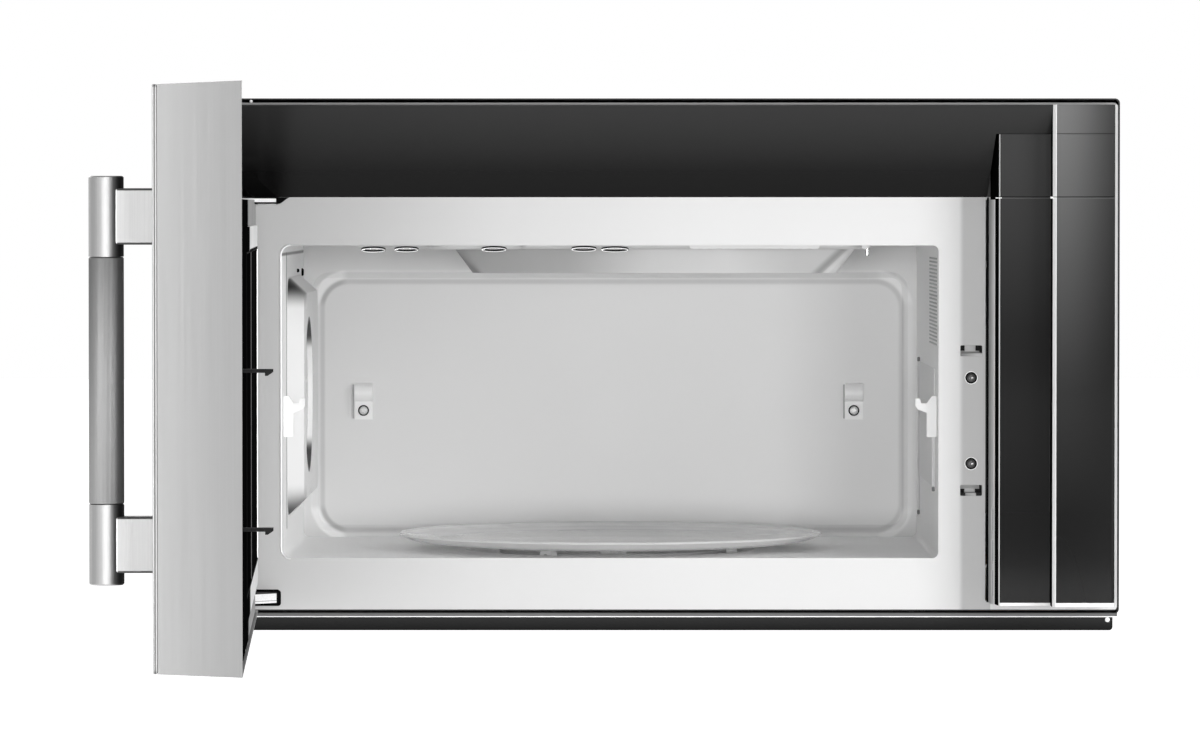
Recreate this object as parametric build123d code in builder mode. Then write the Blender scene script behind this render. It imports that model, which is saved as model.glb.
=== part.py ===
from build123d import *
from math import asin, cos, degrees, pi, radians, sin
import os

os.makedirs("parts", exist_ok=True)

# Over the range microwave with its door open.
# X runs to the right, Y runs into the wall, Z runs up, all in millimetres.
# The origin is on the wall face, at the middle of the bottom edge.
# The door is drawn as it lies when shut, and then turned round its hinge.

# Case and base
CASE_WIDTH = 759.0
CASE_HEIGHT = 440.0
CASE_DEPTH = 410.0            # wall face to front plate
CASE_SHEET = 1.2
CASE_RADIUS = 4.0
CASE_RETURN = 20.0            # flange turned in under each side
PAN_HEIGHT = 13.9
PAN_INSET = 5.0
PAN_SHEET = 1.2
PAN_RADIUS = 3.0
LIP_SHEET = 1.5
LIP_DEPTH = 14.0
LIP_HEIGHT = 4.2
SEAM = 0.4                    # gap between sheets that meet in one wall
FACE_GAP = 0.2                # gap where one piece lies on another
TURN_GAP = 0.3                # gap between pieces that move past each other
PIN_GAP = 0.05                # radial clearance round a shaft

# Front plate
PLATE_SHEET = 1.5
PLATE_BOTTOM = 16.5
PLATE_TOP_MARGIN = 3.5
PLATE_RADIUS = 4.0
AIR_END = 86.0                # case's side to the air opening, at the left
AIR_COLUMN_END = 6.0          # air opening to the column
AIR_HEIGHT = 54.0
AIR_TOP_MARGIN = 12.0

# Cooking cavity
LEFT_STILE = 66.5             # case's side to the cavity opening
RIGHT_STILE = 149.5
TOP_RAIL = 121.4              # case's top to the cavity opening
OPENING_LOW = 60.0
OPENING_RADIUS = 5.0
CAVITY_BACK_GAP = 32.0        # wall face to the cavity's back
CAVITY_FLOOR_DROP = 2.0       # floor below the opening's lower edge
CAVITY_CEILING_RISE = 3.4
CAVITY_SHEET = 1.0
WELL_DEPTH = 8.0
WELL_RADIUS = 124.0
BACK_PRESSING = 5.0
BACK_MARGIN_SIDE = 7.5
BACK_MARGIN_LOW = 5.0
BACK_MARGIN_HIGH = 29.0
BACK_CORNER = 16.0

# Turntable
TRAY_WALL_GAP = 8.0
TRAY_THICKNESS = 4.5
TRAY_RISE = 9.5
ROLLER_RADIUS = 6.0
ROLLER_WIDTH = 9.0
ROLLER_TRACK = 104.0
RING_RADIUS = 90.0
RING_WIDTH = 9.0
RING_THICKNESS = 3.0
AXLE_RADIUS = 1.8
COUPLER_RADIUS = 13.0
DRIVE_RADIUS = 3.0
TABLE_MOTOR_RADIUS = 25.0
TABLE_MOTOR_HEIGHT = 20.0

# Slanted vent fascia above the cavity
FASCIA_TOP_MARGIN = 6.0
FASCIA_HEIGHT = 75.6
FASCIA_REACH = 58.0
FASCIA_SHEET = 2.5
FASCIA_EDGE = 0.8
FASCIA_HINGE_REACH = 6.0      # how far the fascia reaches past the hinge
LOUVRE_COUNT = 31
LOUVRE_WIDTH = 9.0
LOUVRE_DEPTH = 36.0
LOUVRE_PITCH = 18.0

# Column of covers at the right
COLUMN_LOW_Z = 23.0
LOW_STEP_WIDTH = 47.2
LOW_STEP_LEAN = 5.0
LOW_STEP_BEVEL = 1.0
LOW_STEP_DROP = 30.0          # case's top to the lower step's top
LOW_STEP_REACH = 40.0
HIGH_STEP_WIDTH = 51.0
HIGH_STEP_MARGIN = 8.2        # case's side to the higher step
HIGH_STEP_REACH = 58.0
COLUMN_BEVEL = 2.5
COLUMN_WALL = 2.0
COVER_SEAM = 0.8              # groove where an upper cover meets a lower one
COVER_SEAM_DEPTH = 0.8
TRIM_SHEET = 1.2
TRIM_REACH = 21.5
TRIM_SLOTS = ((27.0, 53.0), (56.0, 78.0), (81.0, 104.0))
TRIM_SLOT_SIZE = 8.0
TRIM_SLOT_LOW = 24.5
TRIM_SLOT_WIDTH = 1.8

# Door, as it lies when shut
OPEN_ANGLE = 87.7
EXTRA_ANGLE = 7.3
HINGE_INSET = 21.5            # door's edge to the hinge axis
HINGE_REACH = 28.0            # hinge axis in front of the plate
DOOR_SHORT = 0.5              # door narrower than the case at its free end
DOOR_LOW = 17.0
DOOR_GAP = 1.0
DOOR_REACH = 65.0
DOOR_DRAFT = 2.6
DOOR_SHEET = 1.2
DOOR_LEDGE = 9.0
VENT_GAP = 38.0               # how far the door's top edge stands off the plate
DOOR_END_KEPT = 14.0
SKIN_THICKNESS = 3.6
SKIN_RADIUS = 2.5
INNER_COLUMN_GAP = 4.7
INNER_FASCIA_GAP = 2.0
INNER_SHEET = 1.5
INNER_MARGIN = 8.0            # how far the inner frame covers the window's edge
CHOKE_MARGIN = 17.0           # choke cover past the cavity opening all round
CHOKE_THICKNESS = 2.0
CHOKE_RADIUS = 12.0
SIGHT_MARGIN = 4.0            # window smaller than the cavity opening all round
WINDOW_SIDE = 49.5            # door's edge to the outer window
WINDOW_LATCH_GAP = 35.0
WINDOW_LOW = 66.0
WINDOW_TOP_MARGIN = 48.0
WINDOW_RADIUS = 5.0
CONTROL_WIDTH = 72.0
CONTROL_MARGIN = 15.0
CONTROL_LOW = 36.0
CONTROL_TOP_MARGIN = 19.0
GLASS_THICKNESS = 3.2

# Hinges
PIN_RADIUS = 3.0
ARM_EYE = 8.0
ARM_TAB_REACH = 33.0          # hinge axis to the arm's tab
ARM_TAB_WIDTH = 15.0
ARM_SHEET = 3.0
UPPER_ARM_DROP = 4.0          # below the fascia
LOWER_ARM_Z = 23.0
LOWER_ARM_HEIGHT = 9.0
ARM_FOOT_DEPTH = 14.0
ARM_FOOT_HEIGHT = 34.0
ARM_CLEARANCE = 2.0
BLOCK_HEIGHT = 25.0
BLOCK_RADIUS = 10.0

# Latch
LATCH_REACH = 27.0            # cavity opening to the latch
LATCH_HEIGHTS = (231.5, 116.0)
LATCH_SLOT_WIDTH = 18.0
LATCH_SLOT_HEIGHT = 9.0
BLADE_WIDTH = 11.0
BLADE_THICKNESS = 2.6
BLADE_REACH = 20.0
BLADE_LIP = 3.2
LATCH_TRAVEL = 2.0
LATCH_BAR_SHEET = 3.0
LATCH_BOARD_DEPTH = 24.0
LATCH_BOARD_WALL = 2.0
SPRING_RADIUS = 3.0
SPRING_WIRE = 0.8
SPRING_LENGTH = 30.0
SPRING_TURNS = 7

# Handle
HANDLE_DIAMETER = 25.6
HANDLE_LENGTH = 297.0
HANDLE_Z = 224.6
HANDLE_STANDOFF = 37.0        # door face to the middle of the bar
GRIP_LENGTH = 180.0
GRIP_WALL = 2.4
BRACKET_SPACING = 238.2
BRACKET_HEIGHT = 41.0
BRACKET_WIDTH = 21.0
BRACKET_OVERLAP = 5.8

# Rack supports in the cavity
CLIP_WIDTH = 16.0
CLIP_HEIGHT = 32.0
CLIP_DEPTH = 9.0
CLIP_PLATE = 3.0
CLIP_Z = 178.0
CLIP_LEFT_INSET = 53.0
CLIP_RIGHT_INSET = 55.5
HOOK_REACH = 17.5
HOOK_WIDTH = 10.0
HOOK_Y = 34.0                 # behind the front plate
HOOK_Z = 176.0
SCREW_RADIUS = 3.3
SCREW_HEIGHT = 2.2
REAR_SCREW_INSET = 14.0

# Ceiling of the cavity
CEILING_PRESSING_SHIFT = 37.5  # right of the cavity's middle
CEILING_PRESSING_WIDTH = 345.0
CEILING_PRESSING_DROP = 27.0
CEILING_PRESSING_FRONT = 62.0
CEILING_PRESSING_BACK = 46.0
CEILING_PRESSING_SLOPE = 19.5
GRILL_RADIUS = 3.2
GRILL_LEFT_INSET = 65.0
GRILL_RIGHT_INSET = 60.0

# Air system
DUCT_WIDTH = 254.0
DUCT_DEPTH = 83.0
BLOWER_SHEET = 1.2
BLOWER_OUTLET_RISE = 23.4     # top of the scroll to the outlet
BLOWER_Y = -75.0
WHEEL_GAP = 6.0               # wheel to the scroll
WHEEL_LENGTH = 82.0
WHEEL_BLADES = 20
BLADE_SHEET = 1.2
INLET_LAP = 7.0               # wheel's rim past the inlet
BLOWER_SHAFT = 4.0
BLOWER_MOTOR_GAP = 17.0       # motor to the scroll
BLOWER_MOTOR_LENGTH = 58.0
DAMPER_SHEET = 1.5
DAMPER_PIN = 1.6
DAMPER_SIDE_GAP = 2.0
FILTER_WIDTH = 150.0
FILTER_LENGTH = 290.0
FILTER_THICKNESS = 8.0
FILTER_X = 150.0
FILTER_EDGE = 4.0
LENS_WIDTH = 90.0
LENS_DEPTH = 38.0
LENS_X = 60.0
LENS_FRONT = 34.0             # front plate to the lenses' middle
CHARCOAL_DEPTH = 18.0

# Convection unit behind the cavity's left wall
PANEL_FRONT = 89.0            # behind the front plate
PANEL_BACK_GAP = 13.0
PANEL_FLOOR_GAP = 31.0
PANEL_CEILING_GAP = 31.0
PANEL_RISE = 13.6             # how far the fan cover stands into the cavity
PANEL_SLOPE = 14.0            # run of its sloping sides
PANEL_DISH_RADIUS = 64.0
PANEL_DISH_DEPTH = 4.0
PANEL_FLANGE = 8.0
PANEL_RADIUS = 24.0
FAN_Y = -217.0
FAN_Z = 190.0
FAN_RADIUS = 60.0
FAN_BLADES = 8
FAN_SHAFT = 3.0
CAN_RADIUS = 92.0
CAN_DEPTH = 26.0
HEATER_RADIUS = 78.0
HEATER_TUBE = 3.2
FAN_MOTOR_RADIUS = 27.0
FAN_MOTOR_LENGTH = 28.0
AIR_HOLE = 3.5
AIR_HOLE_PITCH = 13.0
OUTLET_HOLE = 2.2
OUTLET_RING = 88.0
OUTLET_COUNT = 36

# Electrical parts
MAGNETRON_SIZE = (78.0, 92.0, 84.0)
WAVEGUIDE_SIZE = (26.0, 96.0, 90.0)
MAGNETRON_Y = -235.0
MAGNETRON_DROP = 60.0         # below the cavity's ceiling
CORE_SIZE = (92.0, 96.0, 58.0)
COIL_SIZE = (62.0, 130.0, 40.0)
TRANSFORMER_INSET = 74.5      # case's side to its middle
TRANSFORMER_Y = -280.0
CAPACITOR_SIZE = (36.0, 52.0, 96.0)
CAPACITOR_INSET = 49.5
CAPACITOR_Y = -90.0
BOARD_WIDTH = 34.0
BOARD_HEIGHT = 300.0
BOARD_THICKNESS = 1.6
BOARD_STANDOFF = 22.0
LAMP_RADIUS = 13.0
LAMP_HEIGHT = 44.0

# Mounting points
CABINET_BOLT_SPACING = 660.0
CABINET_BOLT_HOLE = 3.5
CABINET_BOLT_FRONT = 80.0     # front plate to the bolts
HOOK_SLOT_SPACING = 508.0
HOOK_SLOT_LENGTH = 30.0
HOOK_SLOT_WIDTH = 6.0
HOOK_SLOT_Z = 34.0
GROMMET_INSET = 79.5
GROMMET_Y = -52.0
GROMMET_NECK = 11.0
GROMMET_FLANGE = 14.5
GROMMET_BORE = 6.5
GROMMET_RIM = 2.6

# Sizes that follow from the driving ones
FRONT = -CASE_DEPTH
PLATE_BACK = FRONT + PLATE_SHEET
PLATE_TOP = CASE_HEIGHT - PLATE_TOP_MARGIN
OPENING_LEFT = -CASE_WIDTH / 2 + LEFT_STILE
OPENING_RIGHT = CASE_WIDTH / 2 - RIGHT_STILE
OPENING_WIDTH = OPENING_RIGHT - OPENING_LEFT
OPENING_X = (OPENING_LEFT + OPENING_RIGHT) / 2
OPENING_HIGH = CASE_HEIGHT - TOP_RAIL
OPENING_MID = (OPENING_LOW + OPENING_HIGH) / 2
CAVITY_FLOOR = OPENING_LOW - CAVITY_FLOOR_DROP
CAVITY_CEILING = OPENING_HIGH + CAVITY_CEILING_RISE
CAVITY_BACK = -CAVITY_BACK_GAP
CAVITY_DEPTH = CAVITY_BACK - FRONT
TRAY_RADIUS = CAVITY_DEPTH / 2 - TRAY_WALL_GAP
CAVITY_MID = (FRONT + CAVITY_BACK) / 2
CAVITY_HEIGHT = CAVITY_CEILING - CAVITY_FLOOR
CAVITY_MID_Z = (CAVITY_CEILING + CAVITY_FLOOR) / 2
LINER_TOP = CAVITY_CEILING + CAVITY_SHEET
WELL_FLOOR = CAVITY_FLOOR - WELL_DEPTH
CASE_LOW = PAN_HEIGHT
CASE_INSIDE = CASE_WIDTH / 2 - CASE_SHEET
CASE_TOP_INSIDE = CASE_HEIGHT - CASE_SHEET
BLOWER_RADIUS = (CASE_TOP_INSIDE - LINER_TOP - BLOWER_OUTLET_RISE) / 2
WHEEL_RADIUS = BLOWER_RADIUS - WHEEL_GAP
INLET_RADIUS = WHEEL_RADIUS - INLET_LAP
BLOWER_MOTOR_RADIUS = BLOWER_RADIUS - BLOWER_MOTOR_GAP
FASCIA_HIGH = CASE_HEIGHT - FASCIA_TOP_MARGIN
FASCIA_LOW = FASCIA_HIGH - FASCIA_HEIGHT
LOW_STEP_TOP = CASE_HEIGHT - LOW_STEP_DROP
HIGH_STEP_RIGHT = CASE_WIDTH / 2 - HIGH_STEP_MARGIN
HIGH_STEP_LEFT = HIGH_STEP_RIGHT - HIGH_STEP_WIDTH
LOW_STEP_LEFT = HIGH_STEP_LEFT - SEAM - LOW_STEP_WIDTH
TRIM_SLOT = (TRIM_SLOT_LOW, FASCIA_LOW - 2)
DOOR_LEFT = -CASE_WIDTH / 2
DOOR_RIGHT = CASE_WIDTH / 2 - DOOR_SHORT
DOOR_HIGH = CASE_HEIGHT
HINGE_X = DOOR_LEFT + HINGE_INSET
FASCIA_LEFT = HINGE_X - FASCIA_HINGE_REACH
ARM_TAB_X = HINGE_X + ARM_TAB_REACH
UPPER_ARM_Z = FASCIA_LOW - UPPER_ARM_DROP
LATCH_X = OPENING_RIGHT + LATCH_REACH
AIR_LEFT = -CASE_WIDTH / 2 + AIR_END
AIR_RIGHT = LOW_STEP_LEFT - AIR_COLUMN_END
AIR_X = (AIR_LEFT + AIR_RIGHT) / 2
AIR_WIDTH = AIR_RIGHT - AIR_LEFT
AIR_HIGH = CASE_HEIGHT - AIR_TOP_MARGIN
AIR_LOW = AIR_HIGH - AIR_HEIGHT
INNER_RIGHT = LOW_STEP_LEFT - INNER_COLUMN_GAP
INNER_HIGH = FASCIA_LOW - INNER_FASCIA_GAP
CHOKE_LEFT = OPENING_LEFT - CHOKE_MARGIN
CHOKE_RIGHT = OPENING_RIGHT + CHOKE_MARGIN
CHOKE_LOW = OPENING_LOW - CHOKE_MARGIN
CHOKE_HIGH = OPENING_HIGH + CHOKE_MARGIN
WINDOW_LEFT = DOOR_LEFT + WINDOW_SIDE
WINDOW_RIGHT = LATCH_X - WINDOW_LATCH_GAP
WINDOW_HIGH = DOOR_HIGH - WINDOW_TOP_MARGIN
CONTROL_RIGHT = DOOR_RIGHT - CONTROL_MARGIN
CONTROL_LEFT = CONTROL_RIGHT - CONTROL_WIDTH
CONTROL_HIGH = DOOR_HIGH - CONTROL_TOP_MARGIN
LENS_Y = FRONT + LENS_FRONT
PANEL_REAR = CAVITY_DEPTH - PANEL_BACK_GAP
PANEL_LOW = CAVITY_FLOOR + PANEL_FLOOR_GAP
PANEL_HIGH = CAVITY_CEILING - PANEL_CEILING_GAP
CABINET_BOLT_Y = FRONT + CABINET_BOLT_FRONT
GROMMET_X = CASE_WIDTH / 2 - GROMMET_INSET
CLIP_LEFT_X = OPENING_LEFT + CLIP_LEFT_INSET
CLIP_RIGHT_X = OPENING_RIGHT - CLIP_RIGHT_INSET
CEILING_PRESSING_X = OPENING_X + CEILING_PRESSING_SHIFT
CEILING_PRESSING_DEPTH = CAVITY_DEPTH - CEILING_PRESSING_FRONT - CEILING_PRESSING_BACK
GRILL_LEFT = OPENING_LEFT + GRILL_LEFT_INSET
GRILL_RIGHT = OPENING_RIGHT - GRILL_RIGHT_INSET
MAGNETRON_Z = CAVITY_CEILING - MAGNETRON_DROP
TRANSFORMER_X = CASE_WIDTH / 2 - TRANSFORMER_INSET
CAPACITOR_X = CASE_WIDTH / 2 - CAPACITOR_INSET
SKIN_BACK = DOOR_REACH - SKIN_THICKNESS
DOOR_WIDTH = DOOR_RIGHT - DOOR_LEFT
DOOR_HEIGHT = DOOR_HIGH - DOOR_LOW
DOOR_MID_X = (DOOR_RIGHT + DOOR_LEFT) / 2
DOOR_MID_Z = (DOOR_HIGH + DOOR_LOW) / 2
HINGE_Y = FRONT - HINGE_REACH
HINGE_ROUND = HINGE_REACH - DOOR_GAP
HANDLE_REACH = DOOR_REACH + HANDLE_STANDOFF
INNER_BACK = DOOR_GAP + CHOKE_THICKNESS


def facing(reach=0.0):
    """Plane square to Y, reach in front of the front plate, seen from the front."""
    return Plane(origin=(0, FRONT - reach, 0), x_dir=(1, 0, 0), z_dir=(0, -1, 0))


def level(height=0.0):
    """Plane square to Z."""
    return Plane.XY.offset(height)


def side(x=0.0):
    """Plane square to X, with Y across and Z up."""
    return Plane(origin=(x, 0, 0), x_dir=(0, 1, 0), z_dir=(1, 0, 0))


def on_door(plane):
    """The plane carried round the hinge with the open door."""
    hinge = Location((HINGE_X, HINGE_Y, 0))
    turn = hinge * Location((0, 0, 0), (0, 0, -OPEN_ANGLE)) * hinge.inverse()
    return Plane(turn * plane.location)


def span(low, high):
    """Middle and length of a stretch."""
    return (low + high) / 2, high - low


# ---------------------------------------------------------------- case and base

with BuildPart() as case_wrap:
    case_mid, case_tall = span(CASE_LOW, CASE_HEIGHT)
    with BuildSketch(facing()):
        with Locations((0, case_mid)):
            RectangleRounded(CASE_WIDTH, case_tall, CASE_RADIUS)
            RectangleRounded(
                CASE_WIDTH - 2 * CASE_SHEET,
                case_tall - 2 * CASE_SHEET,
                CASE_RADIUS - CASE_SHEET,
                mode=Mode.SUBTRACT,
            )
        with Locations((0, CASE_LOW)):
            Rectangle(
                CASE_WIDTH - 2 * (CASE_SHEET + CASE_RETURN),
                3 * CASE_SHEET,
                mode=Mode.SUBTRACT,
            )
    extrude(amount=-CASE_DEPTH)
    # the returns stop short of the front lip and of the rear panel
    with BuildSketch(level(CASE_LOW)):
        with Locations((0, FRONT)):
            Rectangle(CASE_WIDTH - 2 * CASE_SHEET, 2 * (LIP_DEPTH + SEAM))
        with Locations((0, 0)):
            Rectangle(CASE_WIDTH - 2 * CASE_SHEET, 2 * (CASE_SHEET + SEAM))
    extrude(amount=CASE_RADIUS, mode=Mode.SUBTRACT)
    with BuildSketch(level(CASE_HEIGHT)):
        with Locations((0, BLOWER_Y - BLOWER_RADIUS + DUCT_DEPTH / 2)):
            Rectangle(DUCT_WIDTH, DUCT_DEPTH)
        with Locations((0, CABINET_BOLT_Y)):
            with GridLocations(CABINET_BOLT_SPACING, 0, 2, 1):
                Circle(CABINET_BOLT_HOLE)
        with Locations((GROMMET_X, GROMMET_Y)):
            Circle(GROMMET_NECK)
    extrude(amount=-CASE_SHEET, mode=Mode.SUBTRACT)
case_wrap.part.label = "case_wrap"
export_step(case_wrap.part, "parts/case_wrap.step")

REAR_SCREWS = [
    (x, z)
    for x in (-CASE_WIDTH / 2 + REAR_SCREW_INSET, 0, CASE_WIDTH / 2 - REAR_SCREW_INSET)
    for z in (CASE_HEIGHT - REAR_SCREW_INSET, REAR_SCREW_INSET + LIP_DEPTH)
]

with BuildPart() as rear_panel:
    with BuildSketch(Plane.XZ):
        Rectangle(
            2 * (CASE_INSIDE - SEAM), CASE_TOP_INSIDE - SEAM, align=(Align.CENTER, Align.MIN)
        )
    extrude(amount=CASE_SHEET)
    fillet(rear_panel.edges().filter_by(Axis.Y).group_by(Axis.Z)[-1], CASE_RADIUS + 1)
    # two shallow stiffening pressings, open towards the wall
    pressing_depth = 4.0
    press_wide = CASE_WIDTH / 2 - 50
    press_tall = CASE_HEIGHT / 2
    for press_x in (-CASE_WIDTH / 4, CASE_WIDTH / 4):
        with BuildSketch(Plane.XZ.offset(CASE_SHEET)):
            with Locations((press_x, OPENING_MID)):
                RectangleRounded(press_wide, press_tall, 12)
        extrude(amount=pressing_depth, taper=20)
        with BuildSketch(Plane.XZ):
            with Locations((press_x, OPENING_MID)):
                RectangleRounded(press_wide - 2 * CASE_SHEET, press_tall - 2 * CASE_SHEET, 11)
        extrude(amount=pressing_depth, taper=20, mode=Mode.SUBTRACT)
    with BuildSketch(Plane.XZ):
        with Locations((0, HOOK_SLOT_Z)):
            with GridLocations(HOOK_SLOT_SPACING, 0, 2, 1):
                SlotOverall(HOOK_SLOT_LENGTH, HOOK_SLOT_WIDTH)
        # seats that take the screw heads flush
        with Locations(*REAR_SCREWS):
            Circle(SCREW_RADIUS + PIN_GAP)
    extrude(amount=CASE_SHEET, mode=Mode.SUBTRACT)
rear_panel.part.label = "rear_panel"
export_step(rear_panel.part, "parts/rear_panel.step")

PAN_WIDTH = CASE_WIDTH - 2 * PAN_INSET
PAN_FRONT = FRONT
PAN_REAR = -CASE_SHEET
pan_mid, pan_deep = span(PAN_FRONT, PAN_REAR)
FILTER_Y = pan_mid + 20

with BuildPart() as base_pan:
    with BuildSketch(level()):
        with Locations((0, pan_mid)):
            Rectangle(PAN_WIDTH, pan_deep)
    extrude(amount=PAN_HEIGHT)
    fillet(base_pan.edges().filter_by(Axis.X).group_by(Axis.Z)[0].sort_by(Axis.Y)[0], PAN_RADIUS)
    fillet(base_pan.edges().filter_by(Axis.Z).group_by(Axis.Y)[0], PAN_RADIUS)
    with BuildSketch(level(PAN_HEIGHT)):
        with Locations((0, pan_mid)):
            RectangleRounded(PAN_WIDTH - 2 * PAN_SHEET, pan_deep - 2 * PAN_SHEET, PAN_RADIUS - PAN_SHEET)
    extrude(amount=-(PAN_HEIGHT - PAN_SHEET), mode=Mode.SUBTRACT)
    with BuildSketch(level()):
        with Locations((0, FILTER_Y)):
            with GridLocations(2 * FILTER_X, 0, 2, 1):
                RectangleRounded(FILTER_WIDTH - 2 * FILTER_EDGE, FILTER_LENGTH - 2 * FILTER_EDGE, 6)
        with Locations((0, LENS_Y)):
            with GridLocations(2 * LENS_X, 0, 2, 1):
                RectangleRounded(LENS_WIDTH - 2 * FILTER_EDGE, LENS_DEPTH - 2 * FILTER_EDGE, 4)
    extrude(amount=PAN_SHEET, mode=Mode.SUBTRACT)
base_pan.part.label = "base_pan"
export_step(base_pan.part, "parts/base_pan.step")

with BuildPart() as front_lip:
    lip_top = CASE_LOW + LIP_SHEET
    with BuildSketch(side(-CASE_INSIDE + SEAM)):
        with BuildLine():
            Polyline(
                (FRONT, lip_top - LIP_HEIGHT),
                (FRONT - LIP_SHEET, lip_top - LIP_HEIGHT),
                (FRONT - LIP_SHEET, lip_top),
                (FRONT + LIP_DEPTH, lip_top),
                (FRONT + LIP_DEPTH, CASE_LOW),
                (FRONT, CASE_LOW),
                close=True,
            )
        make_face()
    extrude(amount=2 * (CASE_INSIDE - SEAM))
    lip_edges = front_lip.edges().filter_by(Axis.X).group_by(Axis.Y)[0]
    fillet(lip_edges.sort_by(Axis.Z)[-1], LIP_SHEET / 2)
front_lip.part.label = "front_lip"
export_step(front_lip.part, "parts/front_lip.step")

# ---------------------------------------------------------------- front plate

UPPER_SLOT = (UPPER_ARM_Z - ARM_CLEARANCE, UPPER_ARM_Z + ARM_SHEET + ARM_CLEARANCE)
LOWER_SLOT = (LOWER_ARM_Z - ARM_CLEARANCE, LOWER_ARM_Z + LOWER_ARM_HEIGHT + ARM_CLEARANCE)
plate_mid, plate_tall = span(PLATE_BOTTOM, PLATE_TOP)

with BuildPart() as front_plate:
    with BuildSketch(facing()):
        with Locations((0, plate_mid)):
            RectangleRounded(2 * (CASE_INSIDE - SEAM), plate_tall, PLATE_RADIUS)
        with Locations((OPENING_X, OPENING_MID)):
            RectangleRounded(
                OPENING_WIDTH, OPENING_HIGH - OPENING_LOW, OPENING_RADIUS, mode=Mode.SUBTRACT
            )
        with Locations(*[(LATCH_X, height) for height in LATCH_HEIGHTS]):
            RectangleRounded(LATCH_SLOT_WIDTH, LATCH_SLOT_HEIGHT, 1, mode=Mode.SUBTRACT)
        for slot_low, slot_high in (UPPER_SLOT, LOWER_SLOT):
            slot_mid, slot_tall = span(slot_low, slot_high)
            with Locations((ARM_TAB_X - 0.5, slot_mid)):
                RectangleRounded(ARM_TAB_WIDTH + 5, slot_tall, 1.5, mode=Mode.SUBTRACT)
        air_mid, air_tall = span(AIR_LOW, AIR_HIGH)
        with Locations((AIR_X, air_mid)):
            RectangleRounded(AIR_WIDTH, air_tall, 6, mode=Mode.SUBTRACT)
        # long slot beside the column
        trim_low, trim_high = TRIM_SLOT
        with Locations((LOW_STEP_LEFT - TRIM_SHEET - TRIM_SLOT_WIDTH, (trim_low + trim_high) / 2)):
            SlotOverall(trim_high - trim_low, TRIM_SLOT_WIDTH, rotation=90, mode=Mode.SUBTRACT)
    extrude(amount=-PLATE_SHEET)
front_plate.part.label = "front_plate"
export_step(front_plate.part, "parts/front_plate.step")

# ---------------------------------------------------------------- vent fascia

FASCIA_RIGHT = HIGH_STEP_LEFT - SEAM

with BuildPart() as vent_fascia:
    with BuildSketch(side(FASCIA_LEFT)):
        with BuildLine():
            Polyline(
                (FRONT, FASCIA_LOW),
                (FRONT - FASCIA_REACH, FASCIA_HIGH),
                (FRONT, FASCIA_HIGH),
                close=True,
            )
        make_face()
        fillet(vertices().sort_by(Axis.X)[0], FASCIA_EDGE)
    extrude(amount=FASCIA_RIGHT - FASCIA_LEFT)
    # hollow it, leaving end walls
    with BuildSketch(side(FASCIA_LEFT + FASCIA_SHEET)):
        with BuildLine():
            Polyline(
                (FRONT, FASCIA_LOW),
                (FRONT - FASCIA_REACH, FASCIA_HIGH),
                (FRONT, FASCIA_HIGH),
                close=True,
            )
        make_face()
        offset(amount=-FASCIA_SHEET, mode=Mode.REPLACE)
    extrude(amount=FASCIA_RIGHT - FASCIA_LEFT - 2 * FASCIA_SHEET, mode=Mode.SUBTRACT)
    # the air comes in through the back and leaves by the louvres in the top
    with BuildSketch(facing()):
        with Locations((AIR_X, air_mid)):
            Rectangle(AIR_WIDTH, air_tall)
    extrude(amount=FASCIA_SHEET, mode=Mode.SUBTRACT)
    with BuildSketch(level(FASCIA_HIGH)):
        with Locations((AIR_X, FRONT - FASCIA_REACH / 2 + 3)):
            with GridLocations(LOUVRE_PITCH, 0, LOUVRE_COUNT, 1):
                SlotOverall(LOUVRE_DEPTH, LOUVRE_WIDTH, rotation=90)
    extrude(amount=-FASCIA_SHEET, mode=Mode.SUBTRACT)
    # room for the lower step of the column
    with BuildSketch(level(LOW_STEP_TOP + SEAM)):
        step_left = LOW_STEP_LEFT - TRIM_SHEET - TRIM_SLOT_WIDTH
        with BuildLine():
            Polyline(
                (step_left, FRONT),
                (step_left + LOW_STEP_LEAN + 0.4, FRONT - LOW_STEP_REACH - 2),
                (FASCIA_RIGHT, FRONT - LOW_STEP_REACH - 2),
                (FASCIA_RIGHT, FRONT),
                close=True,
            )
        make_face()
    extrude(amount=FASCIA_LOW - LOW_STEP_TOP - 1, mode=Mode.SUBTRACT)
vent_fascia.part.label = "vent_fascia"
export_step(vent_fascia.part, "parts/vent_fascia.step")

# ---------------------------------------------------------------- column covers

with BuildPart() as column_cover_low:
    with BuildSketch(level(COLUMN_LOW_Z)):
        with BuildLine():
            Polyline(
                (LOW_STEP_LEFT, FRONT),
                (LOW_STEP_LEFT + LOW_STEP_LEAN, FRONT - LOW_STEP_REACH + LOW_STEP_BEVEL),
                (LOW_STEP_LEFT + LOW_STEP_LEAN + LOW_STEP_BEVEL, FRONT - LOW_STEP_REACH),
                (HIGH_STEP_LEFT - SEAM, FRONT - LOW_STEP_REACH),
                (HIGH_STEP_LEFT - SEAM, FRONT),
                close=True,
            )
        make_face()
    extrude(amount=LOW_STEP_TOP - COLUMN_LOW_Z)
    offset(amount=-COLUMN_WALL, openings=column_cover_low.faces().sort_by(Axis.Y)[-1])
    # seam in line with the fascia's lower edge
    with BuildSketch(facing(LOW_STEP_REACH)):
        with Locations(((LOW_STEP_LEFT + HIGH_STEP_LEFT) / 2, FASCIA_LOW)):
            Rectangle(2 * LOW_STEP_WIDTH, COVER_SEAM)
    extrude(amount=-COVER_SEAM_DEPTH, mode=Mode.SUBTRACT)
column_cover_low.part.label = "column_cover_low"
export_step(column_cover_low.part, "parts/column_cover_low.step")

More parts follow.
